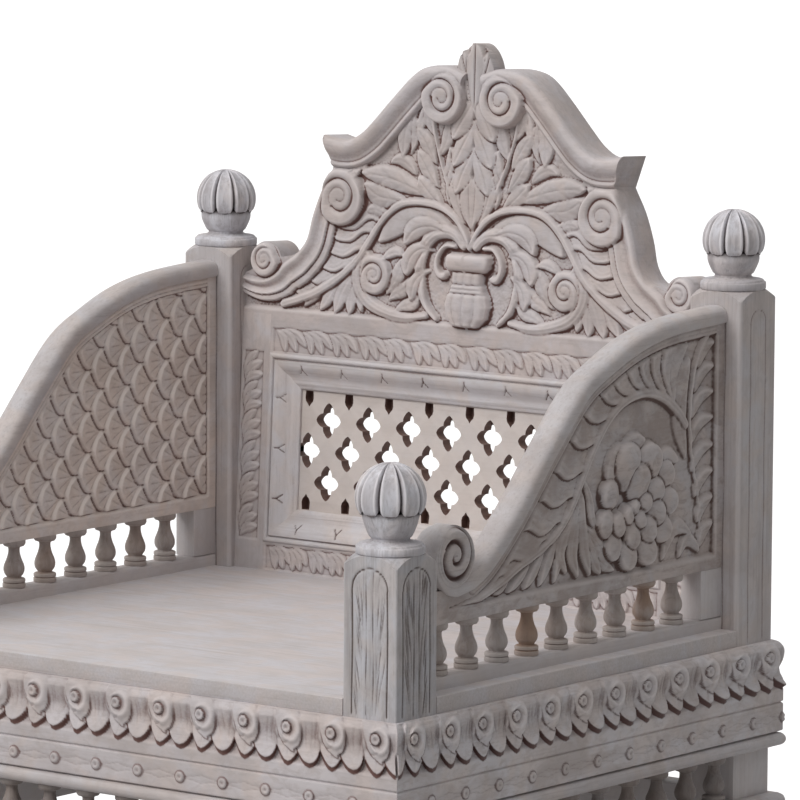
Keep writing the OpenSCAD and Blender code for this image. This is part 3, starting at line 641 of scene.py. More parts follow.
# %% Turned balusters
def baluster_profile(height):
    belly = smooth([[8, 10.2], [7.6, 11.2], [10.2, 15], [11, 19.5], [10.2, 24], [7.4, 31], [6, 37], [6, 41]], 3)
    profile = np.concatenate([
        [[0, 0], [11.4, 0], [12, 0.8], [12, 4.2], [11.2, 5], [10.6, 5.4], [11.8, 6], [11.8, 8.6], [10.8, 9.5]], belly,
        [[6.8, 42.2], [8, 42.6], [10.4, 43.4], [11.2, 44.6], [12, 45.8], [12, 49.6], [11.6, 50], [0, 50]]])
    return profile * [1, height / 50]


def new_tree(name, sockets):
    """A tree with named inputs, its node maker and its input node."""
    tree = bpy.data.node_groups.new(name, "GeometryNodeTree")
    tree.interface.new_socket("Geometry", in_out="OUTPUT", socket_type="NodeSocketGeometry")
    for socket, kind in {"Geometry": "Geometry", **sockets}.items():
        tree.interface.new_socket(socket, in_out="INPUT", socket_type="NodeSocket" + kind)
    add = node_maker(tree)
    return tree, add, add("NodeGroupInput")


def row_tree():
    """Puts an object on each point of a line and makes the row one mesh."""
    tree, add, inputs = new_tree("row_along_a_line", {
        "Turned piece": "Object", "Count": "Int", "Start": "Vector", "Step": "Vector", "Finish": "Material"})
    line = add("GeometryNodeMeshLine", {"mode": "OFFSET"}, Count=(inputs, "Count"), Start_Location=(inputs, "Start"),
               Offset=(inputs, "Step"))
    one = add("GeometryNodeObjectInfo", {"transform_space": "ORIGINAL"}, Object=(inputs, "Turned piece"),
        As_Instance=True)
    spin = add("FunctionNodeRandomValue", {"data_type": "FLOAT"}, i2=0.0, i3=6.283, Seed=5)
    angle = add("ShaderNodeCombineXYZ", Z=(spin, 1))
    placed = add("GeometryNodeInstanceOnPoints", Points=(line, "Mesh"), Instance=(one, "Geometry"),
        Rotation=(angle, "Vector"))
    real = add("GeometryNodeRealizeInstances", Geometry=(placed, "Instances"))
    dressed = add("GeometryNodeSetMaterial", Geometry=(real, "Geometry"), Material=(inputs, "Finish"))
    add("NodeGroupOutput", Geometry=(dressed, "Geometry"))
    return tree


def grown(name, tree, values, material, nodes):
    """Runs a Geometry Nodes tree and keeps its result as a plain piece."""
    name = own_name(name)
    holder = linked(name + "_tree", bpy.data.meshes.new(name + "_tree"))
    modifier = holder.modifiers.new("nodes", "NODES")
    modifier.node_group = tree
    for item in tree.interface.items_tree:
        if item.in_out == "INPUT" and item.name in values:
            modifier[item.identifier] = values[item.name]
    mesh = bpy.data.meshes.new_from_object(holder.evaluated_get(bpy.context.evaluated_depsgraph_get()))
    bpy.data.objects.remove(holder)
    if "hollow" not in mesh.attributes:
        store(mesh, "hollow", hollows(mesh))
    if not len(mesh.materials):
        mesh.materials.append(material)
    mesh.name = name
    return hand_over(name, mesh, nodes)


def turned_pattern(name, profile, sides):
    """One turned piece as a loose object that a tree can copy. It is removed when the rows are made."""
    points, faces = turned(profile, sides)
    mesh = bpy.data.meshes.new(name)
    mesh.from_pydata((points * 0.001).tolist(), [], faces)
    work = bmesh.new()
    work.from_mesh(mesh)
    bmesh.ops.recalc_face_normals(work, faces=work.faces)
    work.to_mesh(mesh)
    work.free()
    mesh.shade_smooth()
    mesh.set_sharp_from_angle(angle=math.radians(40))
    store(mesh, "hollow", hollows(mesh, 1, 2.6))
    return linked(name, mesh)


ROW = row_tree()
GALLERY_TOP, TIE_TOP = -110.0, -158.0
small = turned_pattern("small_baluster", baluster_profile(GALLERY_TOP - TIE_TOP), 28)
for side, (length, _, _) in SIDES.items():
    span = length - 2 * POST
    count = round(span / 50)
    step = span / count
    first = np.array([[-(count - 1) / 2 * step, -9, TIE_TOP], [-(count - 1) / 2 * step + step, -9, TIE_TOP]])
    start, second = metres(to_side(first, side))
    grown("gallery_" + side, ROW, {"Turned piece": small, "Count": count, "Start": tuple(start),
                                   "Step": tuple(second - start), "Finish": GALLERY_WOOD_PAINTED_SHADE}, GALLERY_WOOD_PAINTED_SHADE,
                                   ["gallery_" + side])
bpy.data.objects.remove(small)

# %% [markdown]
# Each leg is a square post behind the mouldings that ends in a turned foot. The feet are below the edge of the
# photograph, so they follow the plain vase-shaped turning that such chairs have.

# %% Legs
FOOT = smooth([[27, 0], [29, 8], [29, 16], [22, 24], [19, 36], [22, 52], [29, 78], [31, 100], [28, 122], [20, 138],
               [18, 146], [25, 152], [26, 158]], 5)
for name, (x, y) in {"leg_front_left": (-1, -1), "leg_front_right": (1, -1), "leg_back_left": (-1, 1),
                     "leg_back_right": (1, 1)}.items():
    cx, cy = x * (HALF_W - POST / 2), y * (HALF_D - POST / 2)
    profile = np.concatenate([[[0, 0]], FOOT, [[27, 160], [27, 197], [0, 197]]]) - [0, LIP]

    def square(half_x, half_y, shift_x, shift_y, z0, z1):
        mx, my = cx + shift_x, cy + shift_y
        return block((mx - half_x, my - half_y, z0), (mx + half_x, my + half_y, z1))

    parts = [square(20.4, 20.4, -x * 11, -y * 11, -204, 0), square(31, 31, -x, -y, -158, -110),
        square(31, 31, 0, 0, -216, -204)]
    piece(name, parts, WOOD_Z, [name], bevel=1.0)
    foot = turned(profile, 48, (cx, cy))
    piece(name + "_foot", [foot], WOOD_Z, [name])

# %% [markdown]
# The seat is flat boards flush with the posts, with a softened top edge. It is built as a plate with its four corners
# cut out for the posts, and a narrow bevel rounds the edges over.

# %% Seat
def seat_plate():
    """The outline with its notched corners, as a top, a bottom and walls."""
    w, d = HALF_W, HALF_D
    n, m = w - POST, d - POST
    outline = [(-n, -d), (n, -d), (n, -m), (w, -m), (w, m), (n, m), (n, d), (-n, d), (-n, m), (-w, m), (-w, -m), (-n, -m)]
    k = len(outline)
    points = np.array([(x, y, z) for z in (0, SEAT_T) for x, y in outline], float)
    faces = [list(range(k))[::-1], list(range(k, 2 * k))]
    return points, faces + [[i, (i + 1) % k, (i + 1) % k + k, i + k] for i in range(k)]


seat = piece("seat_board", [seat_plate()], SEAT_WOOD, ["seat_board"], bevel=1.2)
# The seat's upright edges are made darker than its top: painted shade.
edge = np.array([(0.36 if abs(v.normal.z) < 0.5 else 0.0) for v in seat.data.vertices])
seat.data.attributes["hollow"].data.foreach_set("value", edge)

# %% [markdown]
# ## Posts and finials
# A post is square, with softened corners, and every face ends in a shallow arch, so the top is a small cross vault.
# It is made as rings of points stacked up the post. Each ring follows a rounded square, and the last rings bend to
# the height that the vault has there. The carving is a lift into the wood: an arched line, and inside it upright
# cuts with slanting ones between them, like narrow leaves.

# %% A post
def rounded_square(half, corner, per_side, per_corner):
    """Points of a rounded square with, for each, its outward direction and its place across the face."""
    points, normals, across, face_id = [], [], [], []
    for k, (nx, ny) in enumerate(((0, -1), (1, 0), (0, 1), (-1, 0))):
        tx, ty = -ny, nx
        for u in np.linspace(-(half - corner), half - corner, per_side):
            points.append((nx * half + tx * u, ny * half + ty * u))
            normals.append((nx, ny))
            across.append(u)
            face_id.append(k)
        for q in range(1, per_corner):
            b = math.pi / 2 * q / per_corner
            cx, cy = (nx + tx) * (half - corner), (ny + ty) * (half - corner)
            dx, dy = nx * math.cos(b) + tx * math.sin(b), ny * math.cos(b) + ty * math.sin(b)
            points.append((cx + dx * corner, cy + dy * corner))
            normals.append((dx, dy))
            across.append(half if b < math.pi / 4 else -half)
            face_id.append(k if b < math.pi / 4 else (k + 1) % 4)
    return np.array(points), np.array(normals), np.array(across), np.array(face_id)


def vault(x, y, height):
    """Height of the cross vault over a post."""
    reach = POST / 2
    radius = (reach ** 2 + ARCH_RISE ** 2) / (2 * ARCH_RISE)
    arch = lambda q: height + ARCH_RISE - radius + np.sqrt(radius ** 2 - np.clip(q, -reach, reach) ** 2)
    boss = height + ARCH_RISE - 0.35 * np.maximum(0, np.hypot(x, y) - 31) ** 1.3
    return np.maximum(boss, np.maximum(arch(x), arch(y)))


def flutes(u, z, height, full, seed):
    """Depth cut into a face at [u, z]: an arched line and in it upright cuts with slanting ones between."""
    half, top = (21.0, height - 1.0) if full else (13.0, height - 9.0)
    spring = top - half * 0.95
    inside = np.where(z > spring, half - np.hypot(u, (z - spring) / 0.95),
        half - np.abs(u + 0.4 * np.sin(z * 0.05 + seed)))
    depth = (1.5 if full else 0.9) * near(inside, 0.85)
    pick = np.random.default_rng(seed)
    if not full:
        for k in range(5):
            place, wave = -24 + 12 * k + pick.normal(0, 2), pick.uniform(0, 6)
            depth += 0.35 * near(u - place - 0.9 * np.sin(z * 0.017 + wave), 0.7) * soft(np.sin(z * 0.03 + wave),
                1.2) * (inside < -1)
        return depth * soft(z - 3, 3)
    field = soft(inside - 2.5, 2)
    for place in (-4.2, 4.0):
        uneven = 0.7 + 0.3 * np.sin(z * 0.11 + place)
        depth += 1.2 * near(u - place - 0.45 * np.sin(z * 0.06 + seed + place), 0.8) * uneven * field
    for side in (-1, 1):
        for _ in range(16):
            low, long = pick.uniform(-10, top - 24), pick.uniform(28, 56)
            start, lean = pick.uniform(5.5, 14), pick.uniform(0.03, 0.22)
            phase = np.clip((z - low) / long, 0, 1)
            path = side * (start + lean * (z - low))
            cut = pick.uniform(0.5, 1.1) * near(u - path, 0.75) * np.sin(math.pi * phase) ** 0.6
            depth = np.maximum(depth, cut * field)
    return depth * soft(z - 3, 3)


def post(name, x, y, height, carved, corner, seed):
    cx, cy = x * (HALF_W - POST / 2), y * (HALF_D - POST / 2)
    ring, normal, across, face = rounded_square(POST / 2, corner, 65, 5)
    tops = vault(ring[:, 0], ring[:, 1], height)
    low = height - 14
    steps = np.append(np.arange(0, low - 30, 1.5 if carved else 3.4), np.linspace(low - 30, low, 21))
    rows = [z + 0 * tops for z in steps]
    rows += [low + f * (tops - low) for f in np.linspace(0, 1, 14)[1:]]
    flat = np.abs(across) <= POST / 2 - corner
    shells, dark = [], []
    for z in rows:
        depth = np.zeros_like(z)
        for k in range(4):
            on = face == k
            depth[on] = flutes(across[on], z[on], height, k in carved, seed + k)
        depth = depth * flat
        shells.append(np.concatenate([ring - normal * depth[:, None], z[:, None]], 1))
        # The cuts are darkened and, on the right face, the one turned from the key lamp, so is the field inside the
        # arch: painted shade. The rounded corners are paler, partly wear and partly painted highlight.
        field = soft(18 - np.abs(across), 2) * soft(height - 12 - z, 8) * (face == 1) * (1 in carved)
        dark.append(np.clip(depth * 0.72 + 0.22 * field, 0, 1) - 0.4 * (~flat))
    for f in np.linspace(1, 0.04, 14)[1:]:
        xy = ring * f
        shells.append(np.concatenate([xy, vault(xy[:, 0], xy[:, 1], height)[:, None]], 1))
        dark.append(np.zeros(len(ring)))
    rings = np.array(shells) + [cx, cy, 0]
    return piece(name, [tube(rings)], PALE_POST if y < 0 else WOOD_Z, [name], sharp=50, hollow=np.concatenate(dark))


# Faces are numbered front, right, back, left
post("post_front_right", 1, -1, 145, (0, 1), 2.5, 1)
post("post_front_left", -1, -1, 145, (0, 3), 2.5, 2)
post("post_back_right", 1, 1, 349, (), 4.5, 3)
post("post_back_left", -1, 1, 349, (), 4.5, 4)

# %% [markdown]
# Each post carries a lotus bud. Nine petals meet at the crown, swell over the ball and end in rounded tips that
# hang over a plain turned cup. The bud is a ball whose radius dips between petals. Its lower edge rises and falls
# with them, and a last ring turns inward under the tips to close it on the cup.

# %% Finials
PETALS, PER_PETAL, BUD_ROWS = 9, 20, 46


def bud(radius, centre):
    """Rings from the tips of the petals up to the crown, and how dark each point is painted: painted shadow under the
    tips, painted shade in the cuts, less of it toward the crown, and a painted highlight on the ridges.
    """
    n = PETALS * PER_PETAL
    a = np.linspace(0, 2 * math.pi, n, endpoint=False) + math.radians(6)
    phase = (np.arange(n) % PER_PETAL) / PER_PETAL
    gap = np.minimum(phase, 1 - phase) * 2
    skirt = -0.51 * radius + 0.21 * radius * np.abs(2 * phase - 1) ** 2.1
    inner = 0.82 * radius
    rings = [np.stack([inner * np.cos(a), inner * np.sin(a), skirt + 5], -1),
             np.stack([0.88 * radius * np.cos(a), 0.88 * radius * np.sin(a), skirt + 1.4], -1)]
    # Painted shadow on the rings turned in under the petal tips
    dark = [np.full(n, 0.9), np.full(n, 0.9)]
    wobble = 0.35 * np.sin(3 * a + centre) + 0.25 * np.sin(5 * a)
    low, high = np.arcsin(np.clip(skirt / radius, -1, 1)), math.radians(87)
    for f in np.linspace(0, 1, BUD_ROWS):
        lat = low + (high - low) * f
        wide = np.cos(lat) ** 0.4
        cut, ridge = near(gap, 0.13), near(gap - 0.33, 0.14)
        r = radius * (1 - 0.115 * cut * wide - 0.018 * near(gap - 1, 0.4) * wide) + 0.9 * ridge * wide
        r = r - 1.4 * np.exp(-f / 0.03) + wobble * np.cos(lat)
        rings.append(np.stack([r * np.cos(lat) * np.cos(a), r * np.cos(lat) * np.sin(a), r * np.sin(lat)], -1))
        # Painted shade in the cuts and painted highlight on the ridges, fading toward the crown
        dark.append(np.clip(1.1 * cut - 0.9 * ridge + 0.5 * np.exp(-f / 0.03) - 0.05, -1, 1) * (1 - 0.4 * f))
    return np.array(rings), np.concatenate(dark)


def finial(name, x, y, base, height, diameter):
    cx, cy = x * (HALF_W - POST / 2), y * (HALF_D - POST / 2)
    r = diameter / 2
    middle = height - r
    cup_top = middle - 0.47 * r + 6
    cup = np.concatenate([
        [[0, 0], [32.6, 0], [33.3, 0.8], [33.3, 6.4], [32.6, 7.4], [31.2, 7.8], [30.8, 9.2], [29.6, 9.8], [22, 10.8]],
        smooth([[18.8, 12.6], [18.6, 14.5], [21.4, 17.5], [26.0, 0.5 * (cup_top + 16)], [0.84 * r, cup_top - 3]], 5),
        [[0, cup_top]]])
    rings, dark = bud(r, middle)
    below = turned(cup + [0, base], 64, (cx, cy))
    # Painted shade in the neck above the base ring and a painted shadow on the cup under the petal tips
    lower = np.interp(below[0][:, 2] - base, [0, 10, 12, 15, cup_top - 9, cup_top - 3, cup_top],
        [0, 0, 0.5, 0.2, 0.1, 0.8, 1])
    piece(name, [tube(rings + [cx, cy, base + middle]), below], FINIAL_WOOD_PAINTED_LIGHT, [name], sharp=50,
        hollow=np.concatenate([dark, lower]))


for name, (x, y) in {"finial_front_left": (-1, -1), "finial_front_right": (1, -1), "finial_back_left": (-1, 1),
                     "finial_back_right": (1, 1)}.items():
    finial(name, x, y, (145 if y < 0 else 349) + ARCH_RISE, 86 if y < 0 else 80, 67 if y < 0 else 62)

# %% [markdown]
# ## Carving in relief
# The arm panels, the back's borders and the pediment are carved boards. Each is a sheet of points about a millimetre
# apart whose heights are worked out motif by motif, the way a carver lays them in: the ground first, then stems,
# leaves and scrolls on top, each with a cut line round it. A leaf follows a short path, so the same few functions
# draw every leaf on the chair. The finished sheet is trimmed to the board's outline and given walls and a flat back.

# %% Carver's tools
class Carving:
    """A sheet of heights in millimetres above the ground of a carved board."""

    def __init__(self, low, high, step):
        self.low, self.high, self.step = low, high, step
        self.u, self.v = np.meshgrid(*(np.arange(low[k], high[k] + step / 2, step) for k in (0, 1)))
        self.h = np.zeros_like(self.u)
        # shade scales the painted shade of a sheet, slant the painted light and shade by slope, and extra holds painted
        # light and shade that a motif sets itself
        self.shade, self.slant, self.extra = 1.0, 0.38, 0.0

    def part(self, path, margin):
        """The part of the sheet near a path, as index slices."""
        lo, hi = np.min(path, 0) - margin, np.max(path, 0) + margin
        i0, i1 = (int(np.clip((q - self.low[0]) / self.step, 0, self.u.shape[1])) for q in (lo[0], hi[0] + self.step))
        j0, j1 = (int(np.clip((q - self.low[1]) / self.step, 0, self.u.shape[0])) for q in (lo[1], hi[1] + self.step))
        return slice(j0, j1), slice(i0, i1)

    def lay(self, where, inside, height, edge=1.4, cut=1.0, gap=1.8):
        """Lays a motif over what is there: its edge falls in a few tenths, and a cut line runs round it."""
        old = self.h[where]
        cover = np.clip(inside / edge, 0, 1)
        outside = np.clip(1 + inside / gap, 0, 1) * (inside <= 0)
        self.h[where] = old * (1 - cover) + height * cover - cut * outside ** 2 * (old > -1)

    def leaf(self, path, width, rise, lobes=0, deep=0.3, tilt=0.0, veins=0.0, rib=0.7, base=0.0, fat=1.0,
             edge=1.8, cut=1.2):
        """A leaf along a path. Lobes notch its edge, tilt raises one side, veins groove it outward from the rib. A
        larger fat value moves its widest place toward the tip."""
        path = smooth(path, 6)
        where = self.part(path, width + 3)
        t, s = follow(path, self.u[where], self.v[where])
        shape = np.sin(math.pi * np.clip(t, 0, 1) ** fat) ** 0.62
        half = width / 2 * shape
        across = np.clip(s / np.maximum(half, 0.3), -1.5, 1.5)
        if lobes:
            phase = (t * lobes - 0.55 * np.abs(across)) % 1
            half = half * (1 - deep * (1 - np.sin(math.pi * phase)) ** 1.5)
        inside = np.where((t <= 0) | (t >= 1), -np.hypot(s, 0) - 0.2, half - np.abs(s))
        across = np.clip(s / np.maximum(half, 0.3), -1, 1)
        height = base + rise * (0.72 + 0.28 * t) * (1 - 0.42 * across ** 2 + tilt * across)
        height -= rib * near(s, 1.0) * soft(0.93 - t, 0.1)
        if veins:
            slant = t * (lobes or 6) - 0.55 * np.abs(across)
            height -= veins * np.abs(np.sin(math.pi * slant)) ** 8 * (np.abs(across) > 0.12)
        self.lay(where, inside, height, edge=edge, cut=cut)

    def leaves(self, rows, **how):
        """Leaves with the same cut. Each row is a path and a width, and a rise where that differs too."""
        for path, *size in rows:
            self.leaf(path, *size, **how)

    def stem(self, path, width, rise, lines=1, taper=(1, 1), base=0.0, belly=0.0):
        """A rounded stem with grooves along it. Belly widens its middle."""
        where = self.part(path, width + 3)
        t, s = follow(path, self.u[where], self.v[where])
        half = width / 2 * (taper[0] + (taper[1] - taper[0]) * t) * (1 + belly * np.sin(math.pi * t))
        across = np.clip(s / half, -1, 1)
        height = base + rise * np.sqrt(np.clip(1 - 0.8 * across ** 2, 0, 1))
        for k in range(lines):
            place = (k + 1) / (lines + 1) * 2 - 1
            height -= 0.9 * near((across - place) * half, 0.9)
        inside = np.where((t <= 0) | (t >= 1), half - np.abs(s) - 0.5, half - np.abs(s))
        self.lay(where, inside, height, edge=2.2)

    def volute(self, centre, radius, rise, start=90, sense=1, base=0.0, disc=0.56):
        """A scroll of one band. It comes in over the start angle and winds nearly twice round a raised eye."""
        c = np.array(centre, float)
        where = self.part(np.array([c, c]), radius + 3)
        du, dv = self.u[where] - c[0], self.v[where] - c[1]
        r = np.hypot(du, dv)
        turn = (np.degrees(np.arctan2(dv, du)) - start) * sense % 360 / 360
        line = lambda q: radius * np.interp(q, [0, 0.1, 0.25, 0.5, 1.0, 1.5, 1.85],
            [1.02, 0.80, disc + 0.12, disc, 0.8 * disc, 0.46 * disc, 0.2 * disc])
        first, second = line(turn), line(turn + 1)
        outer = first + (radius - first) * np.clip((turn - 0.08) / 0.2, 0, 1)
        tubes = lambda low, high: np.sqrt(np.clip(1 - 0.9 * (2 * (r - low) / (high - low + 0.1) - 1) ** 2, 0, 1))
        height = np.where(r > first, tubes(first, outer), np.where(r > second, tubes(second, first),
            0.62 + 0.38 * tubes(-second, second)))
        height = base + rise * (0.60 + 0.40 * height) - 0.22 * rise * near(r - first, 0.05 * radius + 0.3)
        self.lay(where, outer - r, height, edge=2.6, cut=1.4)


def signed(polygon, u, v):
    """Distance inside an outline, negative outside, and the nearest place on it."""
    a = np.asarray(polygon, float)
    b = np.roll(a, -1, 0)
    seg = b - a
    inside = np.zeros(u.shape, bool)
    best = np.full(u.shape, 1e18)
    near_u, near_v = np.zeros_like(u), np.zeros_like(v)
    for (ax, ay), (bx, by), (sx, sy) in zip(a, b, seg):
        if ay != by:
            crosses = ((ay > v) != (by > v)) & (u < (bx - ax) * (v - ay) / (by - ay) + ax)
            inside ^= crosses
        t = np.clip(((u - ax) * sx + (v - ay) * sy) / (sx * sx + sy * sy + 1e-12), 0, 1)
        qx, qy = ax + t * sx, ay + t * sy
        d = (u - qx) ** 2 + (v - qy) ** 2
        closer = d < best
        best = np.where(closer, d, best)
        near_u, near_v = np.where(closer, qx, near_u), np.where(closer, qy, near_v)
    distance = np.sqrt(best)
    return np.where(inside, distance, -distance), near_u, near_v


def blurred(field, cells):
    """The mean over a square window, by running sums."""
    out = field
    for axis in (0, 1):
        padded = np.pad(out, [(cells + 1, cells) if k == axis else (0, 0) for k in (0, 1)], mode="edge")
        total = np.cumsum(padded, axis)
        length = out.shape[axis]
        high = np.take(total, np.arange(2 * cells + 1, 2 * cells + 1 + length), axis)
        out = (high - np.take(total, np.arange(length), axis)) / (2 * cells + 1)
    return out


def sheet_painted_shading(h, step, slant):
    """Dark in narrow cuts, beside tall edges and on walls that face down, pale on crests and on walls that face up.
    This is painted light from above: painted shade in the cuts, beside edges and on walls that face down, and a painted
    highlight on crests and walls that face up, over the wash being darker in the cuts and worn on the crests."""
    close = blurred(h, max(1, round(2.0 / step))) - h
    wide = blurred(h, max(2, round(6.0 / step))) - h
    down, across = np.gradient(h, step)
    # Painted light and shade by the slope of each wall, as if lit from above
    painted_slope_light = np.tanh(0.94 * down + 0.34 * across)
    lit = soft(-down - 0.25, 0.5)
    return np.clip((0.60 * close + 0.24 * wide) * (1 - 0.75 * lit) + slant * painted_slope_light, -1, 1)


def board(carving, outlines, back, to_place):
    """Trims a carving to one outline, or to several joined, and closes it with walls and a back at the given depth.
    to_place takes [u, v, height] to millimetres in the chair."""
    u, v, h = carving.u.copy(), carving.v.copy(), carving.h
    outlines = outlines if isinstance(outlines, list) else [outlines]
    inside, near_u, near_v = signed(outlines[0], u, v)
    for other in outlines[1:]:
        inside2, near_u2, near_v2 = signed(other, u, v)
        wins = inside2 > inside
        inside, near_u, near_v = (np.where(wins, b, a) for a, b in ((inside, inside2), (near_u, near_u2),
            (near_v, near_v2)))
    keep = inside > 0
    rows, columns = u.shape
    cell = keep[:-1, :-1] | keep[1:, :-1] | keep[:-1, 1:] | keep[1:, 1:]
    outer = ~keep
    u[outer], v[outer] = near_u[outer], near_v[outer]
    index = np.arange(rows * columns).reshape(rows, columns)
    faces = np.stack([index[:-1, :-1], index[:-1, 1:], index[1:, 1:], index[1:, :-1]], -1)[cell]
    used, faces = np.unique(faces, return_inverse=True)
    faces = faces.reshape(-1, 4)
    flat = np.stack([u, v, h], -1).reshape(-1, 3)[used]
    # The hollow value: painted shade and light worked out from the sheet, over the darker wash in its cuts
    hollow = carving.shade * sheet_painted_shading(h, carving.step, carving.slant) + carving.extra
    hollow = (np.clip(hollow, -1, 1) * soft(inside - 1.6, 1.2)).reshape(-1)[used]
    work = bmesh.new()
    layer = work.verts.layers.float.new("hollow")
    points = [work.verts.new(p) for p in metres(to_place(flat))]
    for point, value in zip(points, hollow):
        point[layer] = value
    for f in faces:
        work.faces.new([points[i] for i in f])
    bmesh.ops.remove_doubles(work, verts=work.verts, dist=1e-5)
    rim = [e for e in work.edges if len(e.link_faces) == 1]
    grown_rim = bmesh.ops.extrude_edge_only(work, edges=rim)["geom"]
    rear = [e for e in grown_rim if isinstance(e, bmesh.types.BMEdge) and len(e.link_faces) == 1]
    span = np.array(metres(to_place(np.array([[0, 0, 0], [0, 0, 1.0]]))))
    inward = span[0] - span[1]
    origin = span[0]
    for point in {p for e in rear for p in e.verts}:
        depth = float(np.dot(np.array(point.co) - origin, inward) / np.dot(inward, inward))
        move = inward * (back - depth)
        point.co = [point.co[k] + move[k] for k in range(3)]
        point[layer] = 0.0
    bmesh.ops.holes_fill(work, edges=rear, sides=0)
    bmesh.ops.recalc_face_normals(work, faces=work.faces)
    return work


def carved_piece(name, work, material, nodes):
    """Makes a finished board one object."""
    mesh = bpy.data.meshes.new(name)
    work.to_mesh(mesh)
    work.free()
    mesh.shade_smooth()
    mesh.set_sharp_from_angle(angle=math.radians(60))
    mesh.materials.append(material)
    return hand_over(name, mesh, nodes)


print("carving tools ready")

# %% [markdown]
# ## The arms
# Each arm is a rail on the seat, nine balusters, a carved panel and an S-curved handrail that rolls up into a scroll
# in front. The handrail's underside is one line from the back post down to the scroll, and the panel's top edge is
# the same line, so the two always meet.

# %% The arm's lines
ARM_X = HALF_W - 19.5 - 12.5
ARM_T, FIELD_CUT, PANEL_Z, STRIP, STILE = 25.0, 3.0, 80.0, 13.0, 13.0
INNER_D = SEAT_D - 2 * POST
SCROLL = np.array([-199, 143.7])
rail_main = smooth([[250, 329], [164, 324], [105, 313], [54, 294], [14, 273], [-34, 226], [-88, 169], [-136, 126],
                    [-168, 109]], 12)
a = np.radians(np.linspace(-84, -210, 43))
winding = np.linspace(39.5, 28.5, 43)
rail_end = SCROLL + winding[:, None] * np.stack([np.cos(a), np.sin(a)], -1)
RAIL_LINE = spaced(np.concatenate([rail_main, rail_end]), 3.0)
print("handrail", round(float(np.linalg.norm(np.diff(RAIL_LINE, axis=0), axis=1).sum())), "mm long")

# %% [markdown]
# The handrail is a section, flat below and rounded above, swept along that line. At its end it wraps round a scroll
# whose faces are carved with a spiral, with painted shade in its groove and on the face inside its rim.

# %% Handrails
RAIL_SECTION = np.array([[-15.5, 1.0], [-14.5, 0], [14.5, 0], [15.5, 1.0], [15.5, 6.5], [15.0, 10], [13.4, 13.0],
    [10.2, 15.3],
                         [5.5, 16.6], [0, 17], [-5.5, 16.6], [-10.2, 15.3], [-13.4, 13.0], [-15.0, 10], [-15.5, 6.5]])
SCROLL_R, TURN_GAP = 30, 15.0


def scroll_spiral(r, t, wide, start):
    """How many turns in from the rim a point of the scroll lies, and 1 where the groove between turns runs."""
    winds = (SCROLL_R - r) / TURN_GAP - ((0.3 - t / (2 * math.pi)) % 1)
    return winds, near(((winds + 0.5) % 1 - 0.5) * TURN_GAP, wide) * soft(r - start, 3)


def handrail(name, x):
    along = np.gradient(RAIL_LINE, axis=0)
    along /= np.linalg.norm(along, axis=1)[:, None]
    up = np.stack([along[:, 1], -along[:, 0]], -1)
    rings, q = [], RAIL_SECTION
    for p, n, f in zip(RAIL_LINE, up, np.linspace(0, 1, len(RAIL_LINE))):
        swell = 1 + 0.02 * math.sin(f * 31)
        rings.append(np.stack([x * ARM_X + q[:, 0] * swell, p[0] + n[0] * q[:, 1], p[1] + n[1] * q[:, 1]], -1))
    shells = [tube(rings)]
    # The scroll, as a disc whose two faces are rings of points lifted into a spiral
    turns_at = np.linspace(0, 2 * math.pi, 96, endpoint=False)
    r, t = np.meshgrid(np.linspace(0.01, SCROLL_R, 30), turns_at, indexing="ij")
    winds, groove = scroll_spiral(r, t, 2.6, 6)
    band = np.abs((winds % 1) - 0.5) * 2
    rise = 16.9 - 6.0 * groove - 1.2 * band ** 3 - 1.6 * np.exp(-((SCROLL_R - r) / 1.2)) - 1.2 * near(r - 26.5, 1.0)
    sides = []
    for s in (-1, 1):
        face = np.stack([x * ARM_X + s * rise, SCROLL[0] + r * np.cos(t), SCROLL[1] + r * np.sin(t)], -1)
        sides.append(face if s < 0 else face[::-1])
    shells.append(tube(np.concatenate(sides)))
    thing = piece(name, shells, WOOD_Y, [name], sharp=50)
    # Painted shade in the groove of the scroll and on its face inside the rim
    spots = np.array([v.co for v in thing.data.vertices]) * 1000 - [x * ARM_X, SCROLL[0], LIP + SCROLL[1]]
    r, t = np.hypot(spots[:, 1], spots[:, 2]), np.arctan2(spots[:, 2], spots[:, 1]) % (2 * math.pi)
    on_face = np.abs(spots[:, 0]) > 8
    groove = scroll_spiral(r, t, 3.2, 4)[1] * (r < 28) * on_face
    hollow, values = thing.data.attributes["hollow"].data, np.zeros(len(r))
    hollow.foreach_get("value", values)
    hollow.foreach_set("value", np.clip(values + 0.7 * groove + 0.15 * (r < 26) * on_face, -1, 1))


handrail("handrail_right", 1)
handrail("handrail_left", -1)

# %% [markdown]
# The rails under the balusters are let into the seat and have a chamfer along each top edge. The block behind the
# last baluster fills the gap to the back post.

# %% Arm rails, blocks and balusters
for name, x in (("right", 1), ("left", -1)):
    section = np.array([[-12.5, 15], [12.5, 15], [12.5, 27.4], [11.9, 28.6], [9.6, 30], [-9.6, 30], [-11.9, 28.6],
        [-12.5, 27.4]])
    rings = [np.stack([x * ARM_X + section[:, 0], np.full(8, y), section[:, 1]], -1) for y in np.linspace(-INNER_D / 2,
        INNER_D / 2, 30)]
    piece("arm_rail_" + name, [tube(rings)], WOOD_Y, ["arm_rail_" + name])
    piece("arm_block_" + name, [block((x * ARM_X - 12.4, INNER_D / 2 - 36, 30), (x * ARM_X + 12.4, INNER_D / 2, 80))],
          WOOD_Z, ["arm_block_" + name], bevel=1.0)

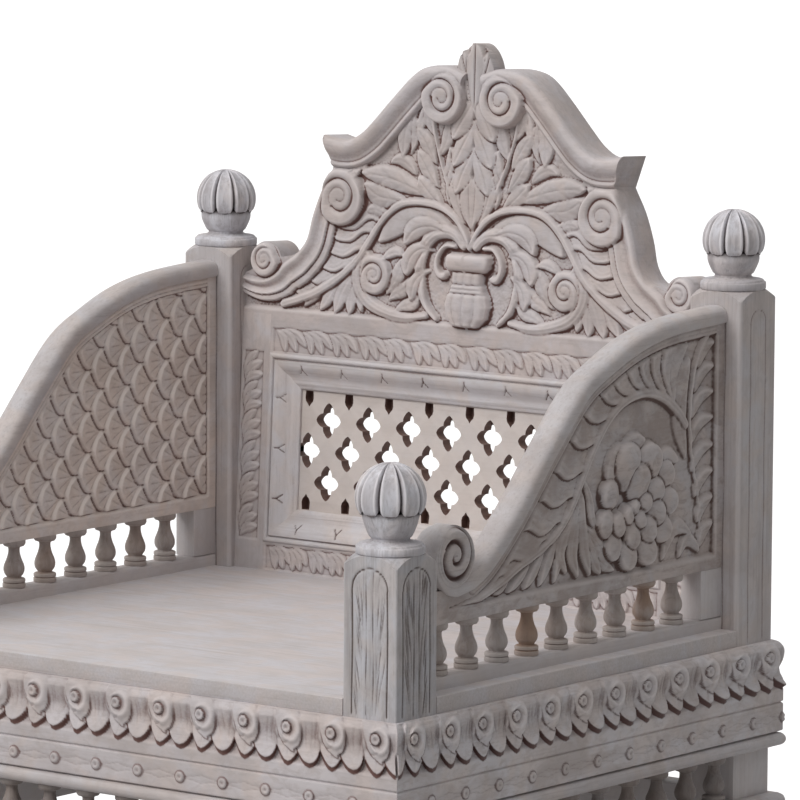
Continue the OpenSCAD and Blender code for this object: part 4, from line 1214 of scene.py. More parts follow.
COUNT = 9
run = (INNER_D - 36) / (COUNT + 0.5)
tall = turned_pattern("arm_baluster", baluster_profile(PANEL_Z - 30), 36)
for name, x in (("right", 1), ("left", -1)):
    start, second = metres([[x * ARM_X, -INNER_D / 2 + 0.8 * run, 30], [x * ARM_X, -INNER_D / 2 + 1.8 * run, 30]])
    grown("arm_balusters_" + name, ROW, {"Turned piece": tall, "Count": COUNT, "Start": tuple(start),
                                         "Step": tuple(second - start), "Finish": TURNED},
          TURNED, ["arm_balusters_" + name])
    mesh = bpy.data.objects["arm_balusters_" + name + "_wood"].data
    y = np.array([v.co.y for v in mesh.vertices]) * 1000
    which = np.clip(np.round((y + INNER_D / 2) / run - 0.8), 0, COUNT - 1).astype(int)
    worn = np.array([0.15, 0.1, 0.0, 0.9, 0.1, 0.2, 0.15, 1.0, 0.1] if x > 0 else [0.1, 0.3, 0.0, 0.2, 0.5, 0.1, 0.0, 0.3,
        0.1])[which]
    store(mesh, "worn", worn)
bpy.data.objects.remove(tall)

# %% [markdown]
# The panel's field is sunk between a double line under the handrail, a flat strip below and a stile behind. Outside
# it holds a rose: three rings of cupped petals round a bud, with leaves behind it, a stem that climbs along the
# rail and curls over the rose, a row of curved leaves between stem and rail, and an upright spray at the back.

# %% Arm panel outline and field
def beside(path, offset):
    """The path moved sideways, away from the handrail for a positive offset."""
    d = np.gradient(path, axis=0)
    d /= np.linalg.norm(d, axis=1)[:, None]
    return path + offset * np.stack([-d[:, 1], d[:, 0]], -1)


last = len(RAIL_LINE) - 18
PANEL_OUTLINE = np.concatenate([RAIL_LINE[:last:3], [RAIL_LINE[last]], [[-INNER_D / 2, RAIL_LINE[last][1]],
    [-INNER_D / 2, PANEL_Z],
                                                     [INNER_D / 2, PANEL_Z]]])
field_line = beside(spaced(rail_main, 3.0), 10.0)
FIELD_OUTLINE = np.concatenate([field_line[::3], [field_line[-1]],
    [[-205, PANEL_Z + STRIP + 1], [INNER_D / 2 - STILE, PANEL_Z + STRIP + 1],
                                                  [INNER_D / 2 - STILE, field_line[3][1]]]])
FIELD_OUTLINE = FIELD_OUTLINE[FIELD_OUTLINE[:, 0] < INNER_D / 2 - STILE + 0.5]


def panel_sheet(step):
    """A sheet at the level of the sunk field, with its frame and the double line round it."""
    c = Carving((-254, 76), (252, 334), step)
    inside, _, _ = signed(FIELD_OUTLINE, c.u, c.v)
    field = soft(inside, 1.6)
    c.h = FIELD_CUT * (1 - field)
    _, s = follow(spaced(rail_main, 3.0), c.u, c.v)
    beside_rail = (c.u < 236) * (c.u > -200)
    c.h -= 1.3 * near(np.abs(s) - 0.8, 0.9) * beside_rail
    c.h -= 1.4 * near(np.abs(s) - 6.4, 1.0) * beside_rail * (inside > -8)
    c.h -= 0.9 * near(inside + 0.3, 0.8)
    c.inside = inside
    return c


def gadroons(c, cuts, limit, rise, over=8.0, span=26.0, reach=44.0):
    """A row of overlapping lobes. Each cut is the lower edge of a lobe that lies to the left of it. The lobe is
    highest there and slopes away until the next one covers it."""
    for first, last in cuts:
        o, q = np.array(first, float), np.array(last, float)
        d = (q - o) / np.hypot(*(q - o))
        drop = np.array([d[1], -d[0]])
        size = np.hypot(*(q - o))
        path = smooth([o - d * over, o, o + 0.33 * (q - o) + drop * 0.17 * size, o + 0.68 * (q - o) + drop * 0.14 * size,
            q, q + d * over], 5)
        where = c.part(path, reach + 2)
        t, s = follow(path, c.u[where], c.v[where])
        along = np.abs(t - 0.5) * 2
        inside = np.minimum(np.minimum(s, limit[where]), reach - s)
        lobe = rise * (1.0 - 0.80 * np.clip(s / span, 0, 1) ** 0.9) * (1 - 0.25 * along ** 3)
        lobe = lobe - 0.16 * rise * near(s, 1.6)
        lobe = lobe - 0.5 * near(s - 0.27 * span - 3 * along, 0.9) - 0.35 * near(s - 0.54 * span - 2 * along, 0.9)
        c.lay(where, inside, lobe, edge=2.2, cut=1.8, gap=2.4)


STEM = smooth([[-226, 112], [-206, 99], [-180, 94.5], [-150, 100], [-120, 110], [-96, 120], [-64, 131], [-32, 147],
    [-8, 170], [12, 200],
               [32, 228], [56, 252], [84, 266], [116, 270], [144, 263], [168, 248], [184, 232]], 6)


def rose_side():
    c = panel_sheet(1.15)
    frame_h = c.h.copy()
    rough = blurred(rng.normal(0, 1, c.h.shape), 1)
    c.h += (0.35 * rough - 1.3) * soft(c.inside - 1, 2)
    _, side = follow(STEM, c.u, c.v)
    limit = np.minimum(c.inside - 1.0, side - 2.0) - 60.0 * (c.u > 182)
    cuts = [((-146, 103), (-96, 121)), ((-122, 115), (-76, 128)), ((-102, 128), (-58, 139)), ((-78, 154), (-34, 155)),
        ((-56, 180), (-14, 178)),
            ((-34, 206), (6, 201)), ((-12, 236), (28, 227)), ((10, 260), (48, 249)), ((36, 280), (74, 262)),
            ((58, 291), (93, 268)),
            ((82, 300), (112, 270)), ((103, 306), (129, 267)), ((124, 310), (146, 262)), ((145, 313), (162, 254))]
    gadroons(c, cuts, limit, 5.6)
    # Upright spray along the stile, its leaves curving back
    for z in (120, 146, 172, 198, 226, 252, 278, 302):
        x = np.interp(z, [110, 160, 200, 240, 300, 324], [212, 206, 197, 194, 204, 220])
        c.leaf([[x, z - 16], [x + 8, z - 2], [x + 20, z + 6], [236, z + 9]], 18, 3.2, tilt=0.45, rib=0.3, fat=0.8,
            edge=3.0, cut=0.4)
    c.leaf([[188, 196], [176, 232], [178, 266], [192, 300]], 26, 3.4, tilt=-0.2, rib=0.6, edge=3.0, cut=0.4)
    c.leaf([[160, 262], [162, 282], [172, 300], [190, 314]], 17, 3.2, tilt=-0.2, rib=0.5, edge=3.0, cut=0.4)
    c.stem(smooth([[214, 120], [208, 160], [197, 200], [193, 240], [200, 285], [216, 312], [236, 326]], 6), 8, 3.6, 1,
        (0.5, 1))
    # Leaves below the stem, toward the front corner, tips down
    c.leaves((([[-104, 112], [-114, 106], [-122, 101], [-134, 98]], 9),
              ([[-72, 124], [-86, 112], [-98, 104], [-112, 97]], 12),
              ([[-48, 138], [-60, 122], [-72, 108], [-86, 97]], 15),
              ([[-28, 152], [-36, 134], [-48, 114], [-60, 97]], 17),
              ([[-14, 162], [-20, 140], [-28, 116], [-36, 97]], 16)), rise=3.6, tilt=-0.3, rib=0.8, fat=1.2)
    # Acanthus in front of the rose
    c.leaves((([[10, 200], [22, 178], [28, 154], [38, 134]], 13, 3.2),
              ([[12, 150], [30, 134], [44, 122], [58, 112]], 18, 3.6),
              ([[12, 140], [26, 124], [44, 108], [66, 98]], 17, 3.8),
              ([[8, 150], [20, 128], [30, 110], [42, 97]], 18, 4.2),
              ([[10, 186], [-12, 150], [-26, 126], [-14, 104]], 19, 3.8),
              ([[12, 182], [0, 150], [-6, 122], [4, 98]], 20, 4.4),
              ([[12, 184], [10, 152], [14, 122], [24, 97]], 17, 4.8)), tilt=0.15, rib=0.9, fat=1.15)
    c.leaf([[148, 98], [158, 120], [174, 130], [198, 120]], 20, 3.6, lobes=3, deep=0.15, veins=0.4)
    c.leaf([[176, 97], [186, 112], [198, 112], [212, 100]], 15, 3.4, tilt=0.3)
    # Sepals behind the rose, then its petals, each a worn dome
    c.leaves((([[62, 172], [60, 194], [68, 210], [84, 222]], 28),
              ([[130, 184], [146, 198], [158, 202], [172, 196]], 24),
              ([[84, 180], [88, 204], [98, 218], [114, 226]], 36)), rise=5.2, rib=0.3, fat=1.1, edge=3.2, cut=0.5)
    c.stem(STEM, 11.5, 5.2, 1, (0.9, 1.0))
    for y, z, size, high in ((86, 198, 25, 4.2), (120, 198, 23, 4.2), (56, 174, 16, 5), (148, 184, 15.5, 5),
        (153, 158, 16, 5.2), (50, 146, 16, 5.2),
                             (143, 132, 16, 5.2), (62, 123, 16, 5.2), (86, 112, 16.5, 5.6), (117, 114, 17, 5.6),
                             (102, 180, 21, 5.0),
                             (128, 170, 15.5, 6.2), (131, 149, 14.5, 6.6), (70, 144, 14, 6.6), (92, 131, 14.5, 6.8),
                             (117, 134, 14, 7.0), (110, 160, 11.5, 7.8), (85, 152, 11, 8), (103, 146, 10, 8.4),
                             (95, 158, 8, 8.8)):
        where = c.part(np.array([[y, z]], float), size + 3)
        du, dv = c.u[where] - y, c.v[where] - z
        b = math.atan2(z - 154, y - 101)
        out, across = du * math.cos(b) + dv * math.sin(b), -du * math.sin(b) + dv * math.cos(b)
        r = np.hypot(out * 0.96, across * 1.02)
        dome = 1.15 * (high - 4.2) + 0.46 * size * np.sqrt(np.clip(1 - 0.97 * (r / size) ** 2, 0, 1)) + 0.03 * high * out
        dome = dome - 0.5 * near(across, 0.10 * size) * soft(out, 6) * (size > 12.5)
        c.lay(where, size - r, dome, edge=1.6, cut=1.8, gap=2.4)
    c.h = np.where(c.inside > -0.4, c.h, frame_h)
    edge = soft(c.inside - 0.6, 1.6)
    c.h = frame_h * (1 - edge) + c.h * edge
    c.h = 0.35 * c.h + 0.65 * blurred(c.h, 1)
    # A strong slant: the rose's domes get painted light on their upper sides and painted shade on their lower sides.
    c.shade, c.slant = 1.0, 0.8
    return c


def scale_side():
    """Rows of scales with their round ends to the front, highest at that end, each column over the one before."""
    c = panel_sheet(1.1)
    frame_h = c.h.copy()
    pitch_y, pitch_z = 21.35, 43.5
    pick = np.random.default_rng(3)
    h, painted_rim_light_and_shade = np.zeros_like(c.h), np.zeros_like(c.h)
    for column in range(-1, 26):
        front = -272 + column * pitch_y + pick.normal(0, 0.5)
        z0 = 94 + (column % 2) * pitch_z / 2
        row = np.round((c.v - z0) / pitch_z)
        dy, dz = c.u - front - pitch_y, c.v - (z0 + row * pitch_z)
        r = (np.abs(dy / pitch_y) ** 1.7 + np.abs(dz / (pitch_z / 2)) ** 1.7) ** (1 / 1.7)
        r = np.where(dy > 0, np.abs(dz) / (pitch_z / 2), r)
        inside = (1 - r) * 20
        back = dy + pitch_y
        shell = 4.1 - 6.0 * np.clip(back / 43, 0, 1) ** 0.9 - 0.4 * near(inside, 1.3)
        fan = np.arctan2(dz, dy - 14)
        shell = shell - 0.8 * np.abs(np.sin(fan * 7.5)) ** 4 * np.clip(inside / 4, 0, 1) * np.clip((back - 3) / 8, 0, 1)
        cover = np.clip(inside / 2.8 + 0.35, 0, 1) * (dy < 26)
        outside = np.clip(1 + (inside + 1.0) / 3.0, 0, 1) * (inside <= -1.0) * (dy < 0)
        h = h * (1 - cover) + shell * cover - 0.9 * outside * soft(-dz - 1, 6)
        # Painted highlight on the upper rims and painted shade on the lower rims and in the fan folds, added to the
        # sheet's hollow value as extra
        rim = 0.12 * near(inside + 1.2, 1.4) * soft(-dz - 1, 8) - 1.1 * near(inside - 0.6, 1.3) * soft(dz - 1, 8)
        rim = rim + 0.16 * np.abs(np.sin(fan * 7.5)) ** 6 * np.clip(inside / 3, 0, 1) * np.clip((back - 5) / 8, 0, 1)
        painted_rim_light_and_shade = np.where((dy < 2) & (inside > -4), rim, painted_rim_light_and_shade * (1 - cover))
    h += 0.12 * blurred(pick.normal(0, 1, h.shape), 1)
    edge = soft(c.inside - 0.8, 1.8)
    c.h = frame_h * (1 - edge) + h * edge
    c.shade, c.extra = 0.80, painted_rim_light_and_shade * edge
    return c


rose, scales = rose_side(), scale_side()
for name, x in (("right", 1), ("left", -1)):
    for label, sheet, face in (("rose", rose, x), ("scales", scales, -x)):
        level = ARM_T / 2 - FIELD_CUT

        def to_arm(p, face=face, x=x):
            return np.stack([x * ARM_X + face * (level + p[:, 2]), p[:, 0], p[:, 1]], -1)

        carved_piece("arm_panel_%s_%s" % (label, name), board(sheet, PANEL_OUTLINE, level, to_arm), ROSE_WOOD_PAINTED_SHADE
            if label == "rose" else SCALE_WOOD_PAINTED_LIGHT,
                     ["arm_panel_" + name])

# %% [markdown]
# ## The back
# The back is a joined frame that leans 3 degrees. Its rails and stiles carry a border of running leaves, carved low
# into their faces: a strip is sunk, and leaf after leaf is laid in it, each over the last. The boards are drawn
# upright and flat, and one function leans them into place.

# %% Back rails and stiles
BACK_T, JALI_Z, OPEN_W, OPEN_H, MOULD_W = 30.0, 148.5, 446.0, 129.0, 37.0
SIDE_X = OPEN_W / 2 + MOULD_W
INNER_W = SEAT_W - 2 * POST
RAIL_LOW, RAIL_HIGH, RAIL_TOP = JALI_Z - OPEN_H / 2 - MOULD_W, JALI_Z + OPEN_H / 2 + MOULD_W, 291.0


def back_place(sense=1, lift=0.0):
    """Leans a drawn board into the back, mirrored for a sense of -1."""
    return lambda p: on_back(np.stack([sense * p[:, 0], p[:, 2] + lift, p[:, 1]], -1))


def rectangle(u0, v0, u1, v1):
    return np.array([(u0, v0), (u1, v0), (u1, v1), (u0, v1)], float)


def running_leaves(c, start, stop, across, pitch, lean, depth, seed):
    """Sinks a shallow strip between two points and lays leaves in it, three from each root, fanning from one edge."""
    start, stop = np.array(start, float), np.array(stop, float)
    length = np.hypot(*(stop - start))
    d = (stop - start) / length
    n = np.array([-d[1], d[0]]) * lean
    t, s = follow([start, stop], c.u, c.v)
    inside = np.minimum(across / 2 - np.abs(s), np.minimum(t, 1 - t) * length - 1.5)
    c.h -= depth * soft(inside, 1.6)
    turn = np.random.default_rng(seed)
    count = int(round((length - 6) / pitch))
    step, w = (length - 10) / count, across / 2
    for k in range(count)[::-1]:
        a = start + d * (4 + k * step + turn.normal(0, 0.8))
        reach = turn.uniform(0.94, 1.06, 3)
        for x0, top, x1, low, wide in ((0.26, 0.98, 1.12, -0.40, 0.46), (0.12, 0.95, 0.78, -0.86, 0.50),
                (0.0, 0.90, 0.38, -0.95, 0.46)):
            tip = a + d * step * x1 * reach[0] + n * w * low
            root = a + d * step * x0 + n * w * top
            bow = (root + tip) / 2 + n * w * 0.22 + d * step * 0.08
            c.leaf([root, bow, tip], across * wide, depth + 1.0, tilt=0.2, rib=0.55, base=-depth, fat=1.25,
                   edge=2.4, cut=0.8)


def back_board(name, low, high, node, dress, material):
    c = Carving((low[0] - 2, low[1] - 2), (high[0] + 2, high[1] + 2), 1.1)
    dress(c)
    return carved_piece(name, board(c, rectangle(*low, *high), BACK_T, back_place()), material, [node])


back_board("back_foot_rail", (-SIDE_X, SEAT_T - 1.6), (SIDE_X, RAIL_LOW), "back_bottom_rail",
           lambda c: running_leaves(c, (-SIDE_X + 2, 31), (SIDE_X - 2, 31), 26, 27, 1, 1.4, 4), CARVED)
back_board("back_head_rail", (-SIDE_X, RAIL_HIGH), (SIDE_X, RAIL_TOP), "back_top_rail",
           lambda c: running_leaves(c, (-SIDE_X + 2, 263.5), (SIDE_X - 2, 263.5), 26, 36.5, 1, 1.4, 5), CARVED)
for name, x in (("right", 1), ("left", -1)):
    lo, hi = sorted((x * SIDE_X, x * INNER_W / 2))
    back_board("back_stile_leaves_" + name, (lo, SEAT_T - 1.6), (hi, RAIL_TOP), "back_stile_" + name,
               lambda c: running_leaves(c, (x * 281.5, 47), (x * 281.5, 252), 26, 34, -x, 1.4, 6 + x), CARVED_UP)

# %% [markdown]
# Inside the border a moulded frame is mitred round the opening. It has a bead at its outer edge, a long wave of a
# slope and a thin inner lip. Small marks like a Y are punched into the slope every 54 mm. Each length is a section
# run along the side, shorter toward the opening, so the mitre makes itself again.

# %% Mitred frame
ogee = [[8 + f * (MOULD_W - 14), 1.5 - 8 * f + 1.2 * math.sin(2 * math.pi * f)] for f in np.linspace(0, 1, 22)]
bead = [[3 - 3 * math.cos(b), -1 + 3 * math.sin(b)] for b in np.linspace(0, math.pi, 9)]
FRAME_FACE = np.array([[0, -6]] + bead + [[6.6, -0.6], [7.6, 0.6]] + ogee + [[33, -8.2], [34.4, -8.6], [36.2, -9.2],
    [37, -10], [37, -12]])
FRAME_SECTION = np.concatenate([FRAME_FACE, [[32, -12.2], [32, -24], [0, -24]]])


MARK_PITCH = 54


def frame_side(name, length, angle, away):
    """One side: drawn lying below the opening, then turned round its middle."""
    s = np.linspace(-1, 1, int(length / 1.3) + 1)[:, None]
    inward, out = FRAME_SECTION[None, :, 0] + 0 * s, FRAME_SECTION[None, :, 1] + 0 * s
    along = s * (length / 2 - inward)
    face = (inward > 9) & (inward < 30) & (out > -9)
    q = (along + MARK_PITCH / 2 + 500 * MARK_PITCH) % MARK_PITCH - MARK_PITCH / 2
    g = inward - 15.5
    mark = near(q, 0.8) * (g < 0.5) * (g > -5)
    mark += near(np.abs(q) - 0.75 * g, 0.8) * (g >= 0) * (g < 6.5)
    ends = np.abs(along) < length / 2 - inward - 20
    out = out - 1.3 * mark * face * ends
    # Painted shade in the Y marks and in the lines beside the bead and at the inner lip, with a slow change of tone
    # along the side.
    hollow = np.clip(mark * face * ends * 0.9 + near(inward - 7.0, 0.8) * 0.7
                     + near(inward - 32.4, 0.7) * 0.4 + 0.10 * np.sin(along * 0.03), -1, 1)
    u, v = along, -away + inward
    b = math.radians(angle)
    p = np.stack([u * math.cos(b) - v * math.sin(b), out, u * math.sin(b) + v * math.cos(b) + JALI_Z], -1)
    piece("back_frame_" + name, [tube(on_back(p))], FRAME_X_PAINTED_LIGHT if angle in (0, 180) else FRAME_Z_PAINTED_LIGHT, ["frame_moulding_" + name],
          sharp=50, hollow=hollow.reshape(-1))


for name, length, angle, away in (("bottom", OPEN_W + 2 * MOULD_W, 0, OPEN_H / 2 + MOULD_W),
    ("top", OPEN_W + 2 * MOULD_W, 180, OPEN_H / 2 + MOULD_W),
                                  ("right", OPEN_H + 2 * MOULD_W, 90, SIDE_X), ("left", OPEN_H + 2 * MOULD_W, -90,
                                  SIDE_X)):
    frame_side(name, length, angle, away)

# %% [markdown]
# The openwork panel is a board pierced with rows of holes, every other row shifted by half. A hole has four lobes:
# the upper and lower are pointed, the side ones round. This is a perforation, so Geometry Nodes make it. The tree
# puts the outline of one hole on the points of two grids and on the points of the edge rows, fills what lies between
# them and the panel's edge, and thickens the result. A turn and a shift at the end lean the board into the back.

# %% Openwork panel
def hole_outline():
    """Four lobes round a centre, the upper and lower drawn out to a point."""
    points = []
    for b in np.linspace(0, 2 * math.pi, 56, endpoint=False):
        best = 0
        for lobe in range(4):
            centre, reach = (7.6, 7.3) if lobe % 2 == 0 else (9.0, 7.2)
            d = b - lobe * math.pi / 2
            d = (d + math.pi) % (2 * math.pi) - math.pi
            if abs(centre * math.sin(d)) < reach and math.cos(d) > 0:
                r = centre * math.cos(d) + math.sqrt(reach ** 2 - (centre * math.sin(d)) ** 2)
                r += (2.8 if lobe % 2 else 1.4) * max(0, 1 - abs(d) / 0.36)
                best = max(best, r)
        best = max(best, 1 / (abs(math.cos(b)) / 13.4 + abs(math.sin(b)) / 16.5))
        points.append((best * math.cos(b), best * math.sin(b), 0))
    return points


def slot_outline(sense):
    """A half hole at the edge: a small upright slot with a pointed end."""
    return [(x, sense * z, 0) for x, z in ((-5, 0), (5, 0), (5.6, 8), (4.6, 11.5), (2, 14), (0, 17), (-2, 14),
        (-4.6, 11.5), (-5.6, 8))]


def outline_pattern(name, points):
    curve = bpy.data.curves.new(name, "CURVE")
    spline = curve.splines.new("POLY")
    spline.points.add(len(points) - 1)
    spline.points.foreach_set("co", [c for p in points for c in (*(q * 0.001 for q in p), 1.0)])
    spline.use_cyclic_u = True
    return linked(name, curve)


def pierced_tree():
    tree, add, inputs = new_tree("pierced_panel", {
        "Width": "Float", "Height": "Float", "Thickness": "Float", "Pitch": "Float", "Row rise": "Float",
        "Edge rise": "Float", "Hole": "Object", "Upper slot": "Object", "Lower slot": "Object", "Place": "Vector",
        "Turn": "Vector", "Finish": "Material", "Wall painted shade": "Material"})
    edge = add("GeometryNodeCurvePrimitiveQuadrilateral", {"mode": "RECTANGLE"}, i0=(inputs, "Width"),
        i1=(inputs, "Height"))
    loops = [(edge, "Curve")]

    def row(pattern, count, rise):
        """One row of outlines, centred, at a height given as a socket or a number."""
        step = add("ShaderNodeCombineXYZ", X=(inputs, "Pitch"))
        half = add("ShaderNodeMath", {"operation": "MULTIPLY"}, i0=(inputs, "Pitch"), i1=-(count - 1) / 2)
        start = add("ShaderNodeCombineXYZ", X=(half, "Value"), Y=rise)
        line = add("GeometryNodeMeshLine", {"mode": "OFFSET"}, Count=count, Start_Location=(start, "Vector"),
            Offset=(step, "Vector"))
        shape = add("GeometryNodeObjectInfo", {"transform_space": "ORIGINAL"}, Object=(inputs, pattern))
        placed = add("GeometryNodeInstanceOnPoints", Points=(line, "Mesh"), Instance=(shape, "Geometry"))
        real = add("GeometryNodeRealizeInstances", Geometry=(placed, "Instances"))
        loops.append((real, "Geometry"))

    down = add("ShaderNodeMath", {"operation": "MULTIPLY"}, i0=(inputs, "Row rise"), i1=-1.0)
    low = add("ShaderNodeMath", {"operation": "MULTIPLY"}, i0=(inputs, "Edge rise"), i1=-1.0)
    row("Hole", 8, (inputs, "Row rise"))
    row("Hole", 9, 0.0)
    row("Hole", 8, (down, "Value"))
    row("Upper slot", 9, (inputs, "Edge rise"))
    row("Lower slot", 9, (low, "Value"))
    joined = add("GeometryNodeJoinGeometry")
    for loop in loops[::-1]:
        tree.links.new(loop[0].outputs[loop[1]], joined.inputs[0])
    filled = add("GeometryNodeFillCurve", i0=(joined, "Geometry"))
    thick = add("GeometryNodeExtrudeMesh", {"mode": "FACES"}, Mesh=(filled, "Mesh"), Offset_Scale=(inputs, "Thickness"),
        Individual=False)
    marked = add("GeometryNodeStoreNamedAttribute", {"data_type": "BOOLEAN", "domain": "FACE"}, Geometry=(thick, "Mesh"),
                 Name="hole_wall", Value=(thick, "Side"))
    turned_over = add("GeometryNodeFlipFaces", Mesh=(filled, "Mesh"))
    whole = add("GeometryNodeJoinGeometry")
    tree.links.new(marked.outputs["Geometry"], whole.inputs[0])
    tree.links.new(turned_over.outputs["Mesh"], whole.inputs[0])
    merged = add("GeometryNodeMergeByDistance", Geometry=(whole, "Geometry"), Distance=0.00002)
    placed = add("GeometryNodeTransform", Geometry=(merged, "Geometry"), Translation=(inputs, "Place"),
        Rotation=(inputs, "Turn"))
    real = add("GeometryNodeRealizeInstances", Geometry=(placed, "Geometry"))
    faces = add("GeometryNodeSetMaterial", Geometry=(real, "Geometry"), Material=(inputs, "Finish"))
    wall = add("GeometryNodeInputNamedAttribute", {"data_type": "BOOLEAN"}, Name="hole_wall")
    walls = add("GeometryNodeSetMaterial", Geometry=(faces, "Geometry"), Selection=(wall, "Attribute"),
        Material=(inputs, "Wall painted shade"))
    add("NodeGroupOutput", Geometry=(walls, "Geometry"))
    return tree


JALI_T, JALI_SET = 12.5, 12.0
patterns = [outline_pattern("hole", hole_outline()), outline_pattern("upper_slot", slot_outline(-1)),
    outline_pattern("lower_slot", slot_outline(1))]
place = metres(on_back([0, -JALI_SET - JALI_T, JALI_Z]))
grown("openwork_panel", pierced_tree(), {
    "Width": (OPEN_W + 10) / 1000, "Height": (OPEN_H + 10) / 1000, "Thickness": JALI_T / 1000, "Pitch": 0.0533,
    "Row rise": 0.0335, "Edge rise": 0.0635, "Hole": patterns[0], "Upper slot": patterns[1], "Lower slot": patterns[2],
    "Place": tuple(place), "Turn": (math.pi / 2 - LEAN, 0.0, 0.0), "Finish": JALI_WOOD, "Wall painted shade": JALI_WALL_PAINTED_SHADE},
    JALI_WOOD, ["jali_panel"])
for pattern in patterns:
    bpy.data.objects.remove(pattern)
# Dark strips behind the edge slots, so that the slots read dark from the front: painted shade.
for label, z in (("upper", JALI_Z + OPEN_H / 2 - 6), ("lower", JALI_Z - OPEN_H / 2 + 6)):
    points, faces = block((-OPEN_W / 2 - 4, -24.5, z - 12), (OPEN_W / 2 + 4, -22.0, z + 12))
    piece("panel_bead_" + label, [(on_back(points), faces)], JALI_WALL_PAINTED_SHADE, [], bevel=0.8)
# %% [markdown]
# ## The pediment
# The pediment is the showpiece: a vase in the middle, two long stems that arch out of it and down to the corners,
# gadroon leaves between stem and shoulder, a scroll and acanthus at each side of the vase, and a spray of leaves
# rising to the crest, all on a ground pricked with a punch. One half is drawn and the other is its mirror image, as
# the carver would flip the paper pattern. Motifs are laid from the back forward.

# %% Pediment outline
SHOULDER = smooth([[176, 470], [184, 452], [198, 428], [209, 400], [216, 374], [229, 358], [252, 352]], 4)
NECK = smooth([[10, 560], [34, 567], [62, 564], [80, 554], [102, 533], [128, 506], [143, 492], [160, 483], [180, 483],
    [194, 486]], 4)
PEDIMENT_T, GROUND, NECK_T = 35.0, 4.0, 30.0


def circle(centre, radius, count=48):
    b = np.linspace(0, 2 * math.pi, count, endpoint=False)
    return np.stack([centre[0] + radius * np.cos(b), centre[1] + radius * np.sin(b)], -1)


PEDIMENT_OUTLINES = [np.concatenate([[[0, RAIL_TOP], [INNER_W / 2, RAIL_TOP], [INNER_W / 2, 333]], SHOULDER[::-1],
    [[0, 470]]]),
                     circle((270, 348), 20), np.array([(0, 460), (140, 460), (110, 505), (75, 540), (40, 560), (0, 548)],
                     float)]
band_edge = smooth(np.concatenate([SHOULDER[:-2:4], [[236, 353], [247, 345], [256, 335], [270, 328.5], [285, 328],
    [300, 331]]]), 5)


# %% [markdown]
# The border of the field is a hollow moulding along the shoulder with a narrow strip inside it. Its height depends
# only on how far a point is from the outline, so the moulding follows every turn.

